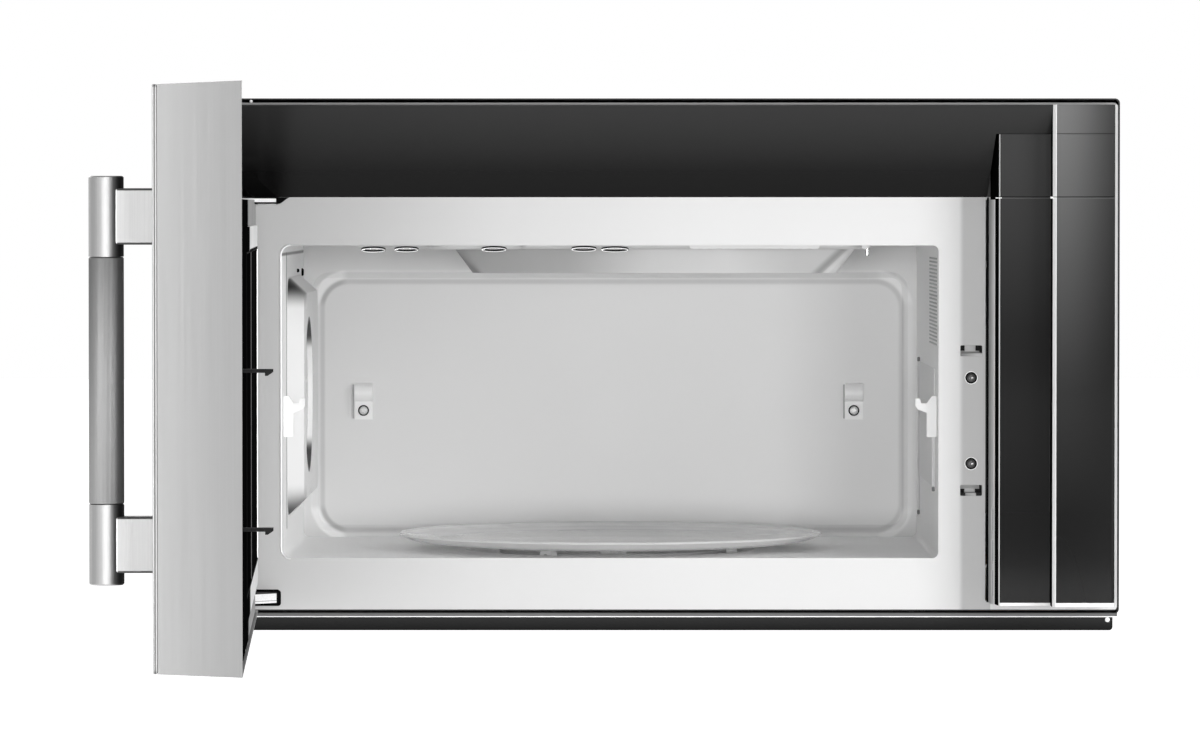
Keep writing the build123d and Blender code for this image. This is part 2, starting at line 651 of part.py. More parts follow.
with BuildPart() as column_cover_high:
    with BuildSketch(level(COLUMN_LOW_Z)):
        with BuildLine():
            Polyline(
                (HIGH_STEP_LEFT, FRONT),
                (HIGH_STEP_LEFT, FRONT - HIGH_STEP_REACH + COLUMN_BEVEL),
                (HIGH_STEP_LEFT + COLUMN_BEVEL, FRONT - HIGH_STEP_REACH),
                (HIGH_STEP_RIGHT - COLUMN_BEVEL, FRONT - HIGH_STEP_REACH),
                (HIGH_STEP_RIGHT, FRONT - HIGH_STEP_REACH + COLUMN_BEVEL),
                (HIGH_STEP_RIGHT, FRONT),
                close=True,
            )
        make_face()
    extrude(amount=FASCIA_HIGH - COLUMN_LOW_Z)
    offset(amount=-COLUMN_WALL, openings=column_cover_high.faces().sort_by(Axis.Y)[-1])
    # seams in line with the fascia's lower edge and the lower step's top
    with BuildSketch(facing(HIGH_STEP_REACH)):
        with Locations(*[((HIGH_STEP_LEFT + HIGH_STEP_RIGHT) / 2, z) for z in (FASCIA_LOW, LOW_STEP_TOP)]):
            Rectangle(2 * HIGH_STEP_WIDTH, COVER_SEAM)
    extrude(amount=-COVER_SEAM_DEPTH, mode=Mode.SUBTRACT)
column_cover_high.part.label = "column_cover_high"
export_step(column_cover_high.part, "parts/column_cover_high.step")

trim_lean = LOW_STEP_LEAN * TRIM_REACH / LOW_STEP_REACH

with BuildPart() as column_trim:
    with BuildSketch(level(COLUMN_LOW_Z)):
        with BuildLine():
            Polyline(
                (LOW_STEP_LEFT, FRONT),
                (LOW_STEP_LEFT + trim_lean, FRONT - TRIM_REACH),
                (LOW_STEP_LEFT + trim_lean - TRIM_SHEET, FRONT - TRIM_REACH),
                (LOW_STEP_LEFT - TRIM_SHEET, FRONT),
                close=True,
            )
        make_face()
    extrude(amount=TRIM_SLOT[1] - COLUMN_LOW_Z)
    with BuildSketch(side(LOW_STEP_LEFT - 2 * TRIM_SHEET)):
        for slot_low, slot_high in TRIM_SLOTS:
            slot_mid, slot_tall = span(slot_low, slot_high)
            with Locations((FRONT - TRIM_REACH + TRIM_SLOT_SIZE / 2 + TRIM_SHEET, slot_mid)):
                SlotOverall(slot_tall, TRIM_SLOT_SIZE, rotation=90)
    extrude(amount=trim_lean + 3 * TRIM_SHEET, mode=Mode.SUBTRACT)
column_trim.part.label = "column_trim"
export_step(column_trim.part, "parts/column_trim.step")

# ---------------------------------------------------------------- cooking cavity

with BuildPart() as cavity_liner:
    liner_length = CAVITY_BACK - PLATE_BACK
    with BuildSketch(Plane(origin=(0, PLATE_BACK, 0), x_dir=(1, 0, 0), z_dir=(0, -1, 0))):
        with Locations((OPENING_X, CAVITY_MID_Z)):
            RectangleRounded(
                OPENING_WIDTH + 2 * CAVITY_SHEET, CAVITY_HEIGHT + 2 * CAVITY_SHEET, OPENING_RADIUS + 1
            )
    extrude(amount=-liner_length)
    # round well in the floor for the roller ring
    with BuildSketch(level(CAVITY_FLOOR)):
        with Locations((OPENING_X, CAVITY_MID)):
            Circle(WELL_RADIUS + CAVITY_SHEET)
    extrude(amount=-(WELL_DEPTH + CAVITY_SHEET))
    with BuildSketch(Plane(origin=(0, PLATE_BACK, 0), x_dir=(1, 0, 0), z_dir=(0, -1, 0))):
        with Locations((OPENING_X, CAVITY_MID_Z)):
            RectangleRounded(OPENING_WIDTH, CAVITY_HEIGHT, OPENING_RADIUS)
    extrude(amount=-liner_length, mode=Mode.SUBTRACT)
    with BuildSketch(level(CAVITY_FLOOR + 1)):
        with Locations((OPENING_X, CAVITY_MID)):
            Circle(WELL_RADIUS)
    extrude(amount=-(WELL_DEPTH + 1), mode=Mode.SUBTRACT)
    with BuildSketch(level(WELL_FLOOR)):
        with Locations((OPENING_X, CAVITY_MID)):
            Circle(DRIVE_RADIUS + 4)
    extrude(amount=-CAVITY_SHEET, mode=Mode.SUBTRACT)
    # opening for the convection panel
    panel_mid_y, panel_deep = span(FRONT + PANEL_FRONT, FRONT + PANEL_REAR)
    panel_mid_z, panel_tall = span(PANEL_LOW, PANEL_HIGH)
    with BuildSketch(side(OPENING_LEFT)):
        with Locations((panel_mid_y, panel_mid_z)):
            RectangleRounded(panel_deep, panel_tall, PANEL_RADIUS)
    extrude(amount=-CAVITY_SHEET, mode=Mode.SUBTRACT)
cavity_liner.part.label = "cavity_liner"
export_step(cavity_liner.part, "parts/cavity_liner.step")

with BuildPart() as cavity_back:
    back_plane = Plane(origin=(0, CAVITY_BACK, 0), x_dir=(1, 0, 0), z_dir=(0, -1, 0))
    with BuildSketch(back_plane):
        with Locations((OPENING_X, CAVITY_MID_Z)):
            RectangleRounded(
                OPENING_WIDTH + 2 * CAVITY_SHEET, CAVITY_HEIGHT + 2 * CAVITY_SHEET, OPENING_RADIUS + 1
            )
    extrude(amount=-CAVITY_SHEET)
    field_mid, field_tall = span(CAVITY_FLOOR + BACK_MARGIN_LOW, CAVITY_CEILING - BACK_MARGIN_HIGH)
    field_wide = OPENING_WIDTH - 2 * BACK_MARGIN_SIDE
    with BuildSketch(back_plane.offset(-CAVITY_SHEET)):
        with Locations((OPENING_X, field_mid)):
            RectangleRounded(field_wide, field_tall, BACK_CORNER)
    extrude(amount=-BACK_PRESSING, taper=45)
    with BuildSketch(back_plane):
        with Locations((OPENING_X, field_mid)):
            RectangleRounded(field_wide - CAVITY_SHEET, field_tall - CAVITY_SHEET, BACK_CORNER - 0.5)
    extrude(amount=-BACK_PRESSING, taper=45, mode=Mode.SUBTRACT)
cavity_back.part.label = "cavity_back"
export_step(cavity_back.part, "parts/cavity_back.step")

PANEL_X = OPENING_LEFT - CAVITY_SHEET      # outer face of the liner's left wall

PANEL_FACE = OPENING_LEFT + PANEL_RISE
PANEL_BACK = PANEL_X - CAVITY_SHEET

with BuildPart() as convection_panel:
    # flange on the liner's outer face
    with BuildSketch(side(PANEL_X)):
        with Locations((panel_mid_y, panel_mid_z)):
            RectangleRounded(
                panel_deep + 2 * PANEL_FLANGE, panel_tall + 2 * PANEL_FLANGE, PANEL_RADIUS
            )
    extrude(amount=-CAVITY_SHEET)
    # cover with sloping sides that stands into the cavity
    for inset, mode in ((0, Mode.ADD), (CAVITY_SHEET, Mode.SUBTRACT)):
        for plane_x, shrink, corner in (
            (PANEL_X - inset, FACE_GAP + inset, PANEL_RADIUS),
            (PANEL_FACE - inset, PANEL_SLOPE + inset, PANEL_RADIUS / 2),
        ):
            with BuildSketch(side(plane_x)):
                with Locations((panel_mid_y, panel_mid_z)):
                    RectangleRounded(panel_deep - 2 * shrink, panel_tall - 2 * shrink, corner)
        loft(mode=mode)
    # dish in front of the fan
    with BuildSketch(side(PANEL_FACE)):
        with Locations((FAN_Y, FAN_Z)):
            Circle(PANEL_DISH_RADIUS + CAVITY_SHEET)
    extrude(amount=-PANEL_DISH_DEPTH - CAVITY_SHEET)
    with BuildSketch(side(PANEL_FACE)):
        with Locations((FAN_Y, FAN_Z)):
            Circle(PANEL_DISH_RADIUS)
    extrude(amount=-PANEL_DISH_DEPTH, mode=Mode.SUBTRACT)
    # air holes in the dish, and a ring of smaller ones round it
    with BuildSketch(side(PANEL_FACE)):
        with Locations((FAN_Y, FAN_Z)):
            Circle(AIR_HOLE)
            for ring in (1, 2, 3):
                with PolarLocations(ring * AIR_HOLE_PITCH, 6 * ring):
                    Circle(AIR_HOLE)
            with PolarLocations(OUTLET_RING, OUTLET_COUNT):
                Circle(OUTLET_HOLE)
    extrude(amount=-PANEL_DISH_DEPTH - 2 * CAVITY_SHEET, mode=Mode.SUBTRACT)
convection_panel.part.label = "convection_panel"
export_step(convection_panel.part, "parts/convection_panel.step")

pressing_front = FRONT + CEILING_PRESSING_FRONT
pressing_mid = pressing_front + CEILING_PRESSING_DEPTH / 2

with BuildPart() as ceiling_duct:
    for shrink, mode in ((0, Mode.ADD), (CAVITY_SHEET, Mode.SUBTRACT)):
        with BuildSketch(level(CAVITY_CEILING + shrink)):
            with Locations((CEILING_PRESSING_X, pressing_mid)):
                RectangleRounded(
                    CEILING_PRESSING_WIDTH - 2 * shrink, CEILING_PRESSING_DEPTH - 2 * shrink, 12
                )
        with BuildSketch(level(CAVITY_CEILING - CEILING_PRESSING_DROP + shrink)):
            with Locations((CEILING_PRESSING_X, pressing_mid)):
                RectangleRounded(
                    CEILING_PRESSING_WIDTH - 2 * CEILING_PRESSING_SLOPE - 2 * shrink,
                    CEILING_PRESSING_DEPTH - 2 * CEILING_PRESSING_SLOPE - 2 * shrink,
                    10,
                )
        loft(mode=mode)
ceiling_duct.part.label = "ceiling_duct"
export_step(ceiling_duct.part, "parts/ceiling_duct.step")

with BuildPart() as grill_element:
    # one tube bent into two flat loops close under the ceiling
    grill_z = CAVITY_CEILING - GRILL_RADIUS - 0.5
    with BuildLine(level(grill_z)) as grill_path:
        FilletPolyline(
            (GRILL_LEFT, PLATE_BACK + 8),
            (GRILL_LEFT, FRONT + 52),
            (GRILL_LEFT + 60, FRONT + 52),
            (GRILL_LEFT + 60, FRONT + 16),
            (GRILL_LEFT + 130, FRONT + 16),
            (GRILL_LEFT + 130, FRONT + 52),
            (GRILL_RIGHT, FRONT + 52),
            (GRILL_RIGHT, PLATE_BACK + 8),
            radius=12,
        )
    with BuildSketch(Plane(origin=grill_path.line @ 0, z_dir=grill_path.line % 0)):
        Circle(GRILL_RADIUS)
    sweep(path=grill_path.line)
grill_element.part.label = "grill_element"
export_step(grill_element.part, "parts/grill_element.step")

# ---------------------------------------------------------------- rack supports and screws

FIELD_Y = CAVITY_BACK + BACK_PRESSING      # face of the pressed field

with BuildPart() as rack_supports:
    for clip_x in (CLIP_LEFT_X, CLIP_RIGHT_X):
        with BuildSketch(side(clip_x - CLIP_WIDTH / 2)):
            with BuildLine():
                foot = (FIELD_Y, CLIP_Z - CLIP_HEIGHT / 2)
                lower = (FIELD_Y - CLIP_PLATE, CLIP_Z - CLIP_HEIGHT / 2)
                waist = (FIELD_Y - CLIP_PLATE, CLIP_Z)
                head = (FIELD_Y, CLIP_Z + CLIP_HEIGHT / 2)
                Polyline(head, foot, lower, waist)
                ThreePointArc(waist, (FIELD_Y - CLIP_DEPTH, CLIP_Z + CLIP_HEIGHT / 4), head)
            make_face()
        extrude(amount=CLIP_WIDTH)
    for wall_x, inward in ((OPENING_LEFT, 1), (OPENING_RIGHT, -1)):
        with BuildSketch(facing(-HOOK_Y)):
            with BuildLine():
                Polyline(
                    (wall_x, HOOK_Z - 17),
                    (wall_x + 8 * inward, HOOK_Z - 17),
                    (wall_x + 8 * inward, HOOK_Z + 3),
                    (wall_x + (HOOK_REACH - 2) * inward, HOOK_Z + 6),
                    (wall_x + HOOK_REACH * inward, HOOK_Z + 9),
                    (wall_x + HOOK_REACH * inward, HOOK_Z + 15),
                    (wall_x + (HOOK_REACH - 4) * inward, HOOK_Z + 15),
                    (wall_x + (HOOK_REACH - 5) * inward, HOOK_Z + 11),
                    (wall_x + 8 * inward, HOOK_Z + 11),
                    (wall_x + 4 * inward, HOOK_Z + 17),
                    (wall_x, HOOK_Z + 17),
                    close=True,
                )
            make_face()
        extrude(amount=-HOOK_WIDTH)
rack_supports.part.label = "rack_supports"
export_step(rack_supports.part, "parts/rack_supports.step")

LATCH_MID = sum(LATCH_HEIGHTS) / 2
plate_screws = [
    facing() * Location((LATCH_X, LATCH_MID + offset_z)) for offset_z in (35.5, -35.5)
]
clip_screws = [
    facing(FRONT - FIELD_Y + CLIP_PLATE) * Location((x, CLIP_Z - CLIP_HEIGHT / 4))
    for x in (CLIP_LEFT_X, CLIP_RIGHT_X)
]
rear_screws = [Location((x, 0, z), (90, 0, 0)) for x, z in REAR_SCREWS]

with BuildPart() as pan_screws:
    with Locations(*plate_screws, *clip_screws, *rear_screws):
        Cylinder(SCREW_RADIUS, SCREW_HEIGHT, align=(Align.CENTER, Align.CENTER, Align.MIN))
pan_screws.part.label = "pan_screws"
export_step(pan_screws.part, "parts/pan_screws.step")

# ---------------------------------------------------------------- hinge arms

arm_eye = (HINGE_X, HINGE_Y)
arm_tab_mid = (ARM_TAB_X, PLATE_BACK + ARM_FOOT_DEPTH / 2)


with BuildPart() as hinge_arm_upper:
    with BuildSketch(level(UPPER_ARM_Z)):
        with Locations(arm_eye):
            Circle(ARM_EYE)
        with Locations((ARM_TAB_X, FRONT)):
            Rectangle(ARM_TAB_WIDTH, 2 * PLATE_SHEET)
        make_hull()
        with Locations(arm_tab_mid):
            Rectangle(ARM_TAB_WIDTH, ARM_FOOT_DEPTH)
        with Locations(arm_eye):
            Circle(PIN_RADIUS, mode=Mode.SUBTRACT)
    extrude(amount=ARM_SHEET)
    # foot against the back of the front plate
    with BuildSketch(facing(-PLATE_SHEET)):
        with Locations((ARM_TAB_X, UPPER_ARM_Z + ARM_SHEET)):
            Rectangle(ARM_TAB_WIDTH, ARM_FOOT_HEIGHT, align=(Align.CENTER, Align.MAX))
    extrude(amount=-ARM_SHEET)
hinge_arm_upper.part.label = "hinge_arm_upper"
export_step(hinge_arm_upper.part, "parts/hinge_arm_upper.step")

with BuildPart() as hinge_arm_lower:
    with BuildSketch(level(LOWER_ARM_Z)):
        with Locations(arm_eye):
            Circle(ARM_EYE)
        with Locations((ARM_TAB_X, FRONT)):
            Rectangle(ARM_TAB_WIDTH, 2 * PLATE_SHEET)
        make_hull()
        with Locations(arm_tab_mid):
            Rectangle(ARM_TAB_WIDTH, ARM_FOOT_DEPTH)
    extrude(amount=LOWER_ARM_HEIGHT)
    # folded from sheet, so hollow under the top leaf
    with BuildSketch(level(LOWER_ARM_Z)):
        with Locations(arm_eye):
            Circle(ARM_EYE - ARM_SHEET / 2)
        with Locations((ARM_TAB_X, FRONT)):
            Rectangle(ARM_TAB_WIDTH - ARM_SHEET, 2 * PLATE_SHEET)
        make_hull()
    extrude(amount=LOWER_ARM_HEIGHT - ARM_SHEET, mode=Mode.SUBTRACT)
    with BuildSketch(level(LOWER_ARM_Z)):
        with Locations(arm_eye):
            Circle(PIN_RADIUS)
    extrude(amount=LOWER_ARM_HEIGHT, mode=Mode.SUBTRACT)
    with BuildSketch(facing(-PLATE_SHEET)):
        with Locations((ARM_TAB_X, LOWER_ARM_Z)):
            Rectangle(ARM_TAB_WIDTH, ARM_FOOT_HEIGHT, align=(Align.CENTER, Align.MIN))
    extrude(amount=-ARM_SHEET)
hinge_arm_lower.part.label = "hinge_arm_lower"
export_step(hinge_arm_lower.part, "parts/hinge_arm_lower.step")

UPPER_BLOCK_TOP = UPPER_ARM_Z - TURN_GAP
LOWER_BLOCK_LOW = LOWER_ARM_Z + LOWER_ARM_HEIGHT + TURN_GAP

with BuildPart() as hinge_pins:
    with BuildSketch(level(UPPER_BLOCK_TOP - BLOCK_HEIGHT + 4)):
        with Locations(arm_eye):
            Circle(PIN_RADIUS)
    extrude(amount=BLOCK_HEIGHT - 4 + TURN_GAP + ARM_SHEET)
    with BuildSketch(level(UPPER_ARM_Z + ARM_SHEET)):
        with Locations(arm_eye):
            Circle(PIN_RADIUS + 1)
    extrude(amount=1)
    with BuildSketch(level(LOWER_ARM_Z + LOWER_ARM_HEIGHT - ARM_SHEET)):
        with Locations(arm_eye):
            Circle(PIN_RADIUS)
    extrude(amount=ARM_SHEET + TURN_GAP + BLOCK_HEIGHT - 4)
hinge_pins.part.label = "hinge_pins"
export_step(hinge_pins.part, "parts/hinge_pins.step")

# ---------------------------------------------------------------- latch board and switches

board_mid_x, board_wide = span(LATCH_X - LATCH_SLOT_WIDTH / 2, LATCH_X + LATCH_SLOT_WIDTH / 2)
board_low = min(LATCH_HEIGHTS) - 20
board_high = max(LATCH_HEIGHTS) + 20
LEDGE_HEIGHT = 2.4

with BuildPart() as latch_board:
    with BuildSketch(facing(-PLATE_SHEET)):
        with Locations((board_mid_x, (board_low + board_high) / 2)):
            RectangleRounded(board_wide + 2 * LATCH_BOARD_WALL + 4, board_high - board_low, 3)
    extrude(amount=-LATCH_BOARD_DEPTH)
    # two pockets that take the latch blades
    with BuildSketch(facing(-PLATE_SHEET)):
        with Locations(*[(LATCH_X, height) for height in LATCH_HEIGHTS]):
            Rectangle(LATCH_SLOT_WIDTH, LATCH_SLOT_HEIGHT)
    extrude(amount=-LATCH_BOARD_DEPTH + LATCH_BOARD_WALL, mode=Mode.SUBTRACT)
    # ledge that each blade's lip drops behind
    with BuildSketch(facing(-PLATE_SHEET - 2)):
        with Locations(*[(LATCH_X, height - LATCH_SLOT_HEIGHT / 2) for height in LATCH_HEIGHTS]):
            Rectangle(LATCH_SLOT_WIDTH, LEDGE_HEIGHT, align=(Align.CENTER, Align.MIN))
    extrude(amount=-6)
latch_board.part.label = "latch_board"
export_step(latch_board.part, "parts/latch_board.step")

with BuildPart() as door_switches:
    switch_back = facing(-PLATE_SHEET - LATCH_BOARD_DEPTH)
    with BuildSketch(switch_back):
        with Locations(*[(LATCH_X, LATCH_MID + step) for step in (-42, 0, 42)]):
            Rectangle(10, 20)
    extrude(amount=-16)
    with BuildSketch(switch_back.offset(-16)):
        for step in (-42, 0, 42):
            with Locations((LATCH_X, LATCH_MID + step)):
                with GridLocations(0, 7, 1, 3):
                    Rectangle(4.8, 0.8)
    extrude(amount=-7)
door_switches.part.label = "door_switches"
export_step(door_switches.part, "parts/door_switches.step")

# ---------------------------------------------------------------- door

with BuildPart() as door_frame:
    for inset, mode in ((0, Mode.ADD), (DOOR_SHEET, Mode.SUBTRACT)):
        for reach, draft in ((DOOR_GAP + 0.5, 0), (SKIN_BACK, DOOR_DRAFT)):
            with BuildSketch(on_door(facing(reach))):
                with Locations((DOOR_MID_X, DOOR_MID_Z)):
                    Rectangle(DOOR_WIDTH - 2 * inset, DOOR_HEIGHT - 2 * (draft + inset))
        loft(mode=mode)
    # ledge all round that carries the skin
    with BuildSketch(on_door(facing(SKIN_BACK))):
        with Locations((DOOR_MID_X, DOOR_MID_Z)):
            Rectangle(DOOR_WIDTH, DOOR_HEIGHT - 2 * DOOR_DRAFT)
            Rectangle(
                DOOR_WIDTH - 2 * DOOR_LEDGE,
                DOOR_HEIGHT - 2 * DOOR_DRAFT - 2 * DOOR_LEDGE,
                mode=Mode.SUBTRACT,
            )
    extrude(amount=-DOOR_SHEET)
    # the hinge edge is rounded about the hinge so that it clears the front plate
    with BuildSketch(on_door(level(DOOR_LOW - 1))):
        corner_x = HINGE_X - HINGE_ROUND
        with Locations((corner_x, FRONT - HINGE_REACH)):
            Rectangle(HINGE_ROUND, HINGE_REACH, align=Align.MIN)
        with Locations((HINGE_X, HINGE_Y)):
            Circle(HINGE_ROUND, mode=Mode.SUBTRACT)
    extrude(amount=DOOR_HEIGHT + 2, mode=Mode.SUBTRACT)
    # the hinge edge and the top edge stand back from the vent fascia
    with BuildSketch(on_door(facing())):
        with Locations((DOOR_LEFT - 1, UPPER_SLOT[0])):
            Rectangle(DOOR_WIDTH - DOOR_END_KEPT, DOOR_HEIGHT, align=Align.MIN)
    extrude(amount=VENT_GAP, mode=Mode.SUBTRACT)
    # notch in the hinge edge for the lower arm
    with BuildSketch(on_door(level(LOWER_SLOT[0]))):
        with Locations((DOOR_LEFT - 1, FRONT - HINGE_REACH - ARM_EYE - 1)):
            Rectangle(DOOR_SHEET + 3, HINGE_REACH + ARM_EYE + 1, align=Align.MIN)
    extrude(amount=LOWER_SLOT[1] - LOWER_SLOT[0], mode=Mode.SUBTRACT)
door_frame.part.label = "door_frame"
export_step(door_frame.part, "parts/door_frame.step")

window_mid_x, window_wide = span(WINDOW_LEFT, WINDOW_RIGHT)
window_mid_z, window_tall = span(WINDOW_LOW, WINDOW_HIGH)
control_mid_x, control_wide = span(CONTROL_LEFT, CONTROL_RIGHT)
control_mid_z, control_tall = span(CONTROL_LOW, CONTROL_HIGH)

with BuildPart() as door_skin:
    with BuildSketch(on_door(facing(SKIN_BACK + FACE_GAP))):
        with Locations((DOOR_MID_X, DOOR_MID_Z)):
            RectangleRounded(DOOR_WIDTH, DOOR_HEIGHT - 2 * DOOR_DRAFT, SKIN_RADIUS)
    extrude(amount=SKIN_THICKNESS - FACE_GAP)
    chamfer(door_skin.faces().sort_by(Axis.X)[0].outer_wire().edges(), 0.6)
    with BuildSketch(on_door(facing(SKIN_BACK))):
        with Locations((window_mid_x, window_mid_z)):
            RectangleRounded(window_wide, window_tall, WINDOW_RADIUS)
        with Locations((control_mid_x, control_mid_z)):
            RectangleRounded(control_wide, control_tall, WINDOW_RADIUS)
    extrude(amount=SKIN_THICKNESS, mode=Mode.SUBTRACT)
door_skin.part.label = "door_skin"
export_step(door_skin.part, "parts/door_skin.step")

GLASS_BACK = DOOR_REACH - SKIN_THICKNESS + FACE_GAP

with BuildPart() as outer_window:
    with BuildSketch(on_door(facing(GLASS_BACK))):
        with Locations((window_mid_x, window_mid_z)):
            RectangleRounded(window_wide - 2 * FACE_GAP, window_tall - 2 * FACE_GAP, WINDOW_RADIUS)
    extrude(amount=GLASS_THICKNESS)
outer_window.part.label = "outer_window"
export_step(outer_window.part, "parts/outer_window.step")

with BuildPart() as control_glass:
    with BuildSketch(on_door(facing(GLASS_BACK))):
        with Locations((control_mid_x, control_mid_z)):
            RectangleRounded(control_wide - 2 * FACE_GAP, control_tall - 2 * FACE_GAP, WINDOW_RADIUS)
    extrude(amount=GLASS_THICKNESS)
control_glass.part.label = "control_glass"
export_step(control_glass.part, "parts/control_glass.step")

SIGHT_LEFT = OPENING_LEFT + SIGHT_MARGIN
SIGHT_RIGHT = OPENING_RIGHT - SIGHT_MARGIN
SIGHT_LOW = OPENING_LOW + SIGHT_MARGIN
SIGHT_HIGH = OPENING_HIGH - SIGHT_MARGIN / 2
sight_mid_x, sight_wide = span(SIGHT_LEFT, SIGHT_RIGHT)
sight_mid_z, sight_tall = span(SIGHT_LOW, SIGHT_HIGH)
INNER_LEFT = DOOR_LEFT + DOOR_SHEET + FACE_GAP
INNER_LOW = DOOR_LOW + DOOR_SHEET + DOOR_DRAFT + FACE_GAP
INNER_FRONT = SKIN_BACK - DOOR_SHEET - FACE_GAP
inner_mid_x, inner_wide = span(INNER_LEFT, INNER_RIGHT)
inner_mid_z, inner_tall = span(INNER_LOW, INNER_HIGH)
LATCH_BAR_BACK = INNER_BACK + INNER_SHEET + TURN_GAP
LATCH_BAR_LOW = min(LATCH_HEIGHTS) - 16
LATCH_BAR_HIGH = max(LATCH_HEIGHTS) + 16
SPRING_TOP = LATCH_BAR_LOW - 1
SPRING_LOW = SPRING_TOP - SPRING_LENGTH

with BuildPart() as channel_void:
    # the space inside the inner frame, open towards the skin
    with BuildSketch(on_door(facing(INNER_BACK + INNER_SHEET))):
        with Locations((inner_mid_x, inner_mid_z)):
            Rectangle(inner_wide - 2 * INNER_SHEET, inner_tall - 2 * INNER_SHEET)
        with Locations((sight_mid_x, sight_mid_z)):
            Rectangle(
                sight_wide - 2 * INNER_MARGIN + 2 * INNER_SHEET,
                sight_tall - 2 * INNER_MARGIN + 2 * INNER_SHEET,
                mode=Mode.SUBTRACT,
            )
    extrude(amount=INNER_FRONT - INNER_BACK - INNER_SHEET)
    with BuildSketch(on_door(level(DOOR_LOW))):
        with Locations((HINGE_X - HINGE_ROUND, FRONT - HINGE_REACH)):
            Rectangle(HINGE_ROUND, HINGE_REACH, align=Align.MIN)
        with Locations((HINGE_X, HINGE_Y)):
            Circle(HINGE_ROUND - INNER_SHEET, mode=Mode.SUBTRACT)
    extrude(amount=DOOR_HEIGHT, mode=Mode.SUBTRACT)

with BuildPart() as inner_frame:
    with BuildSketch(on_door(facing(INNER_BACK))):
        with Locations((inner_mid_x, inner_mid_z)):
            Rectangle(inner_wide, inner_tall)
        with Locations((sight_mid_x, sight_mid_z)):
            Rectangle(
                sight_wide - 2 * INNER_MARGIN, sight_tall - 2 * INNER_MARGIN, mode=Mode.SUBTRACT
            )
    extrude(amount=INNER_FRONT - INNER_BACK)
    with BuildSketch(on_door(level(DOOR_LOW))):
        with Locations((HINGE_X - HINGE_ROUND, FRONT - HINGE_REACH)):
            Rectangle(HINGE_ROUND, HINGE_REACH, align=Align.MIN)
        with Locations((HINGE_X, HINGE_Y)):
            Circle(HINGE_ROUND, mode=Mode.SUBTRACT)
    extrude(amount=DOOR_HEIGHT, mode=Mode.SUBTRACT)
    add(channel_void.part, mode=Mode.SUBTRACT)
    # pockets that the hinge arms turn in
    for slot_low, slot_high in (UPPER_SLOT, LOWER_SLOT):
        with BuildSketch(on_door(level(slot_low))):
            with Locations((DOOR_LEFT - 1, FRONT - HINGE_REACH - ARM_EYE - 1)):
                Rectangle(
                    ARM_TAB_X + ARM_TAB_WIDTH - DOOR_LEFT + 4,
                    HINGE_REACH + ARM_EYE + 1,
                    align=Align.MIN,
                )
        extrude(amount=slot_high - slot_low, mode=Mode.SUBTRACT)
    # slots for the latch blades
    with BuildSketch(on_door(facing(INNER_BACK))):
        with Locations(*[(LATCH_X, height + LATCH_TRAVEL / 2) for height in LATCH_HEIGHTS]):
            Rectangle(BLADE_WIDTH + 2, LATCH_SLOT_HEIGHT + LATCH_TRAVEL)
    extrude(amount=INNER_SHEET, mode=Mode.SUBTRACT)
    # shelf under the latch spring
    with BuildSketch(on_door(facing(INNER_BACK + INNER_SHEET))):
        with Locations((LATCH_X, SPRING_LOW - SPRING_WIRE)):
            Rectangle(BLADE_WIDTH, INNER_SHEET, align=(Align.CENTER, Align.MAX))
    extrude(amount=3 * SPRING_RADIUS)
inner_frame.part.label = "inner_frame"
export_step(inner_frame.part, "parts/inner_frame.step")

choke_mid_x, choke_wide = span(CHOKE_LEFT, CHOKE_RIGHT)
choke_mid_z, choke_tall = span(CHOKE_LOW, CHOKE_HIGH)

with BuildPart() as choke_cover:
    with BuildSketch(on_door(facing(DOOR_GAP))):
        with Locations((choke_mid_x, choke_mid_z)):
            RectangleRounded(choke_wide, choke_tall, CHOKE_RADIUS)
        with Locations((sight_mid_x, sight_mid_z)):
            RectangleRounded(sight_wide, sight_tall, OPENING_RADIUS, mode=Mode.SUBTRACT)
    extrude(amount=CHOKE_THICKNESS)
choke_cover.part.label = "choke_cover"
export_step(choke_cover.part, "parts/choke_cover.step")

with BuildPart() as inner_window:
    with BuildSketch(on_door(facing(DOOR_GAP + FACE_GAP))):
        with Locations((sight_mid_x, sight_mid_z)):
            RectangleRounded(sight_wide - 2 * FACE_GAP, sight_tall - 2 * FACE_GAP, OPENING_RADIUS)
    extrude(amount=CHOKE_THICKNESS - FACE_GAP)
inner_window.part.label = "inner_window"
export_step(inner_window.part, "parts/inner_window.step")

with BuildPart() as hinge_blocks:
    for block_low in (LOWER_BLOCK_LOW, UPPER_BLOCK_TOP - BLOCK_HEIGHT):
        with BuildSketch(on_door(level(block_low))):
            with Locations(arm_eye):
                Circle(BLOCK_RADIUS)
            with Locations((HINGE_X, FRONT - INNER_BACK - INNER_SHEET)):
                Rectangle(2 * BLOCK_RADIUS - 2, HINGE_REACH / 2, align=(Align.CENTER, Align.MAX))
            with Locations(arm_eye):
                Circle(PIN_RADIUS + PIN_GAP, mode=Mode.SUBTRACT)
        extrude(amount=BLOCK_HEIGHT)
hinge_blocks.part.label = "hinge_blocks"
export_step(hinge_blocks.part, "parts/hinge_blocks.step")

# ---------------------------------------------------------------- handle

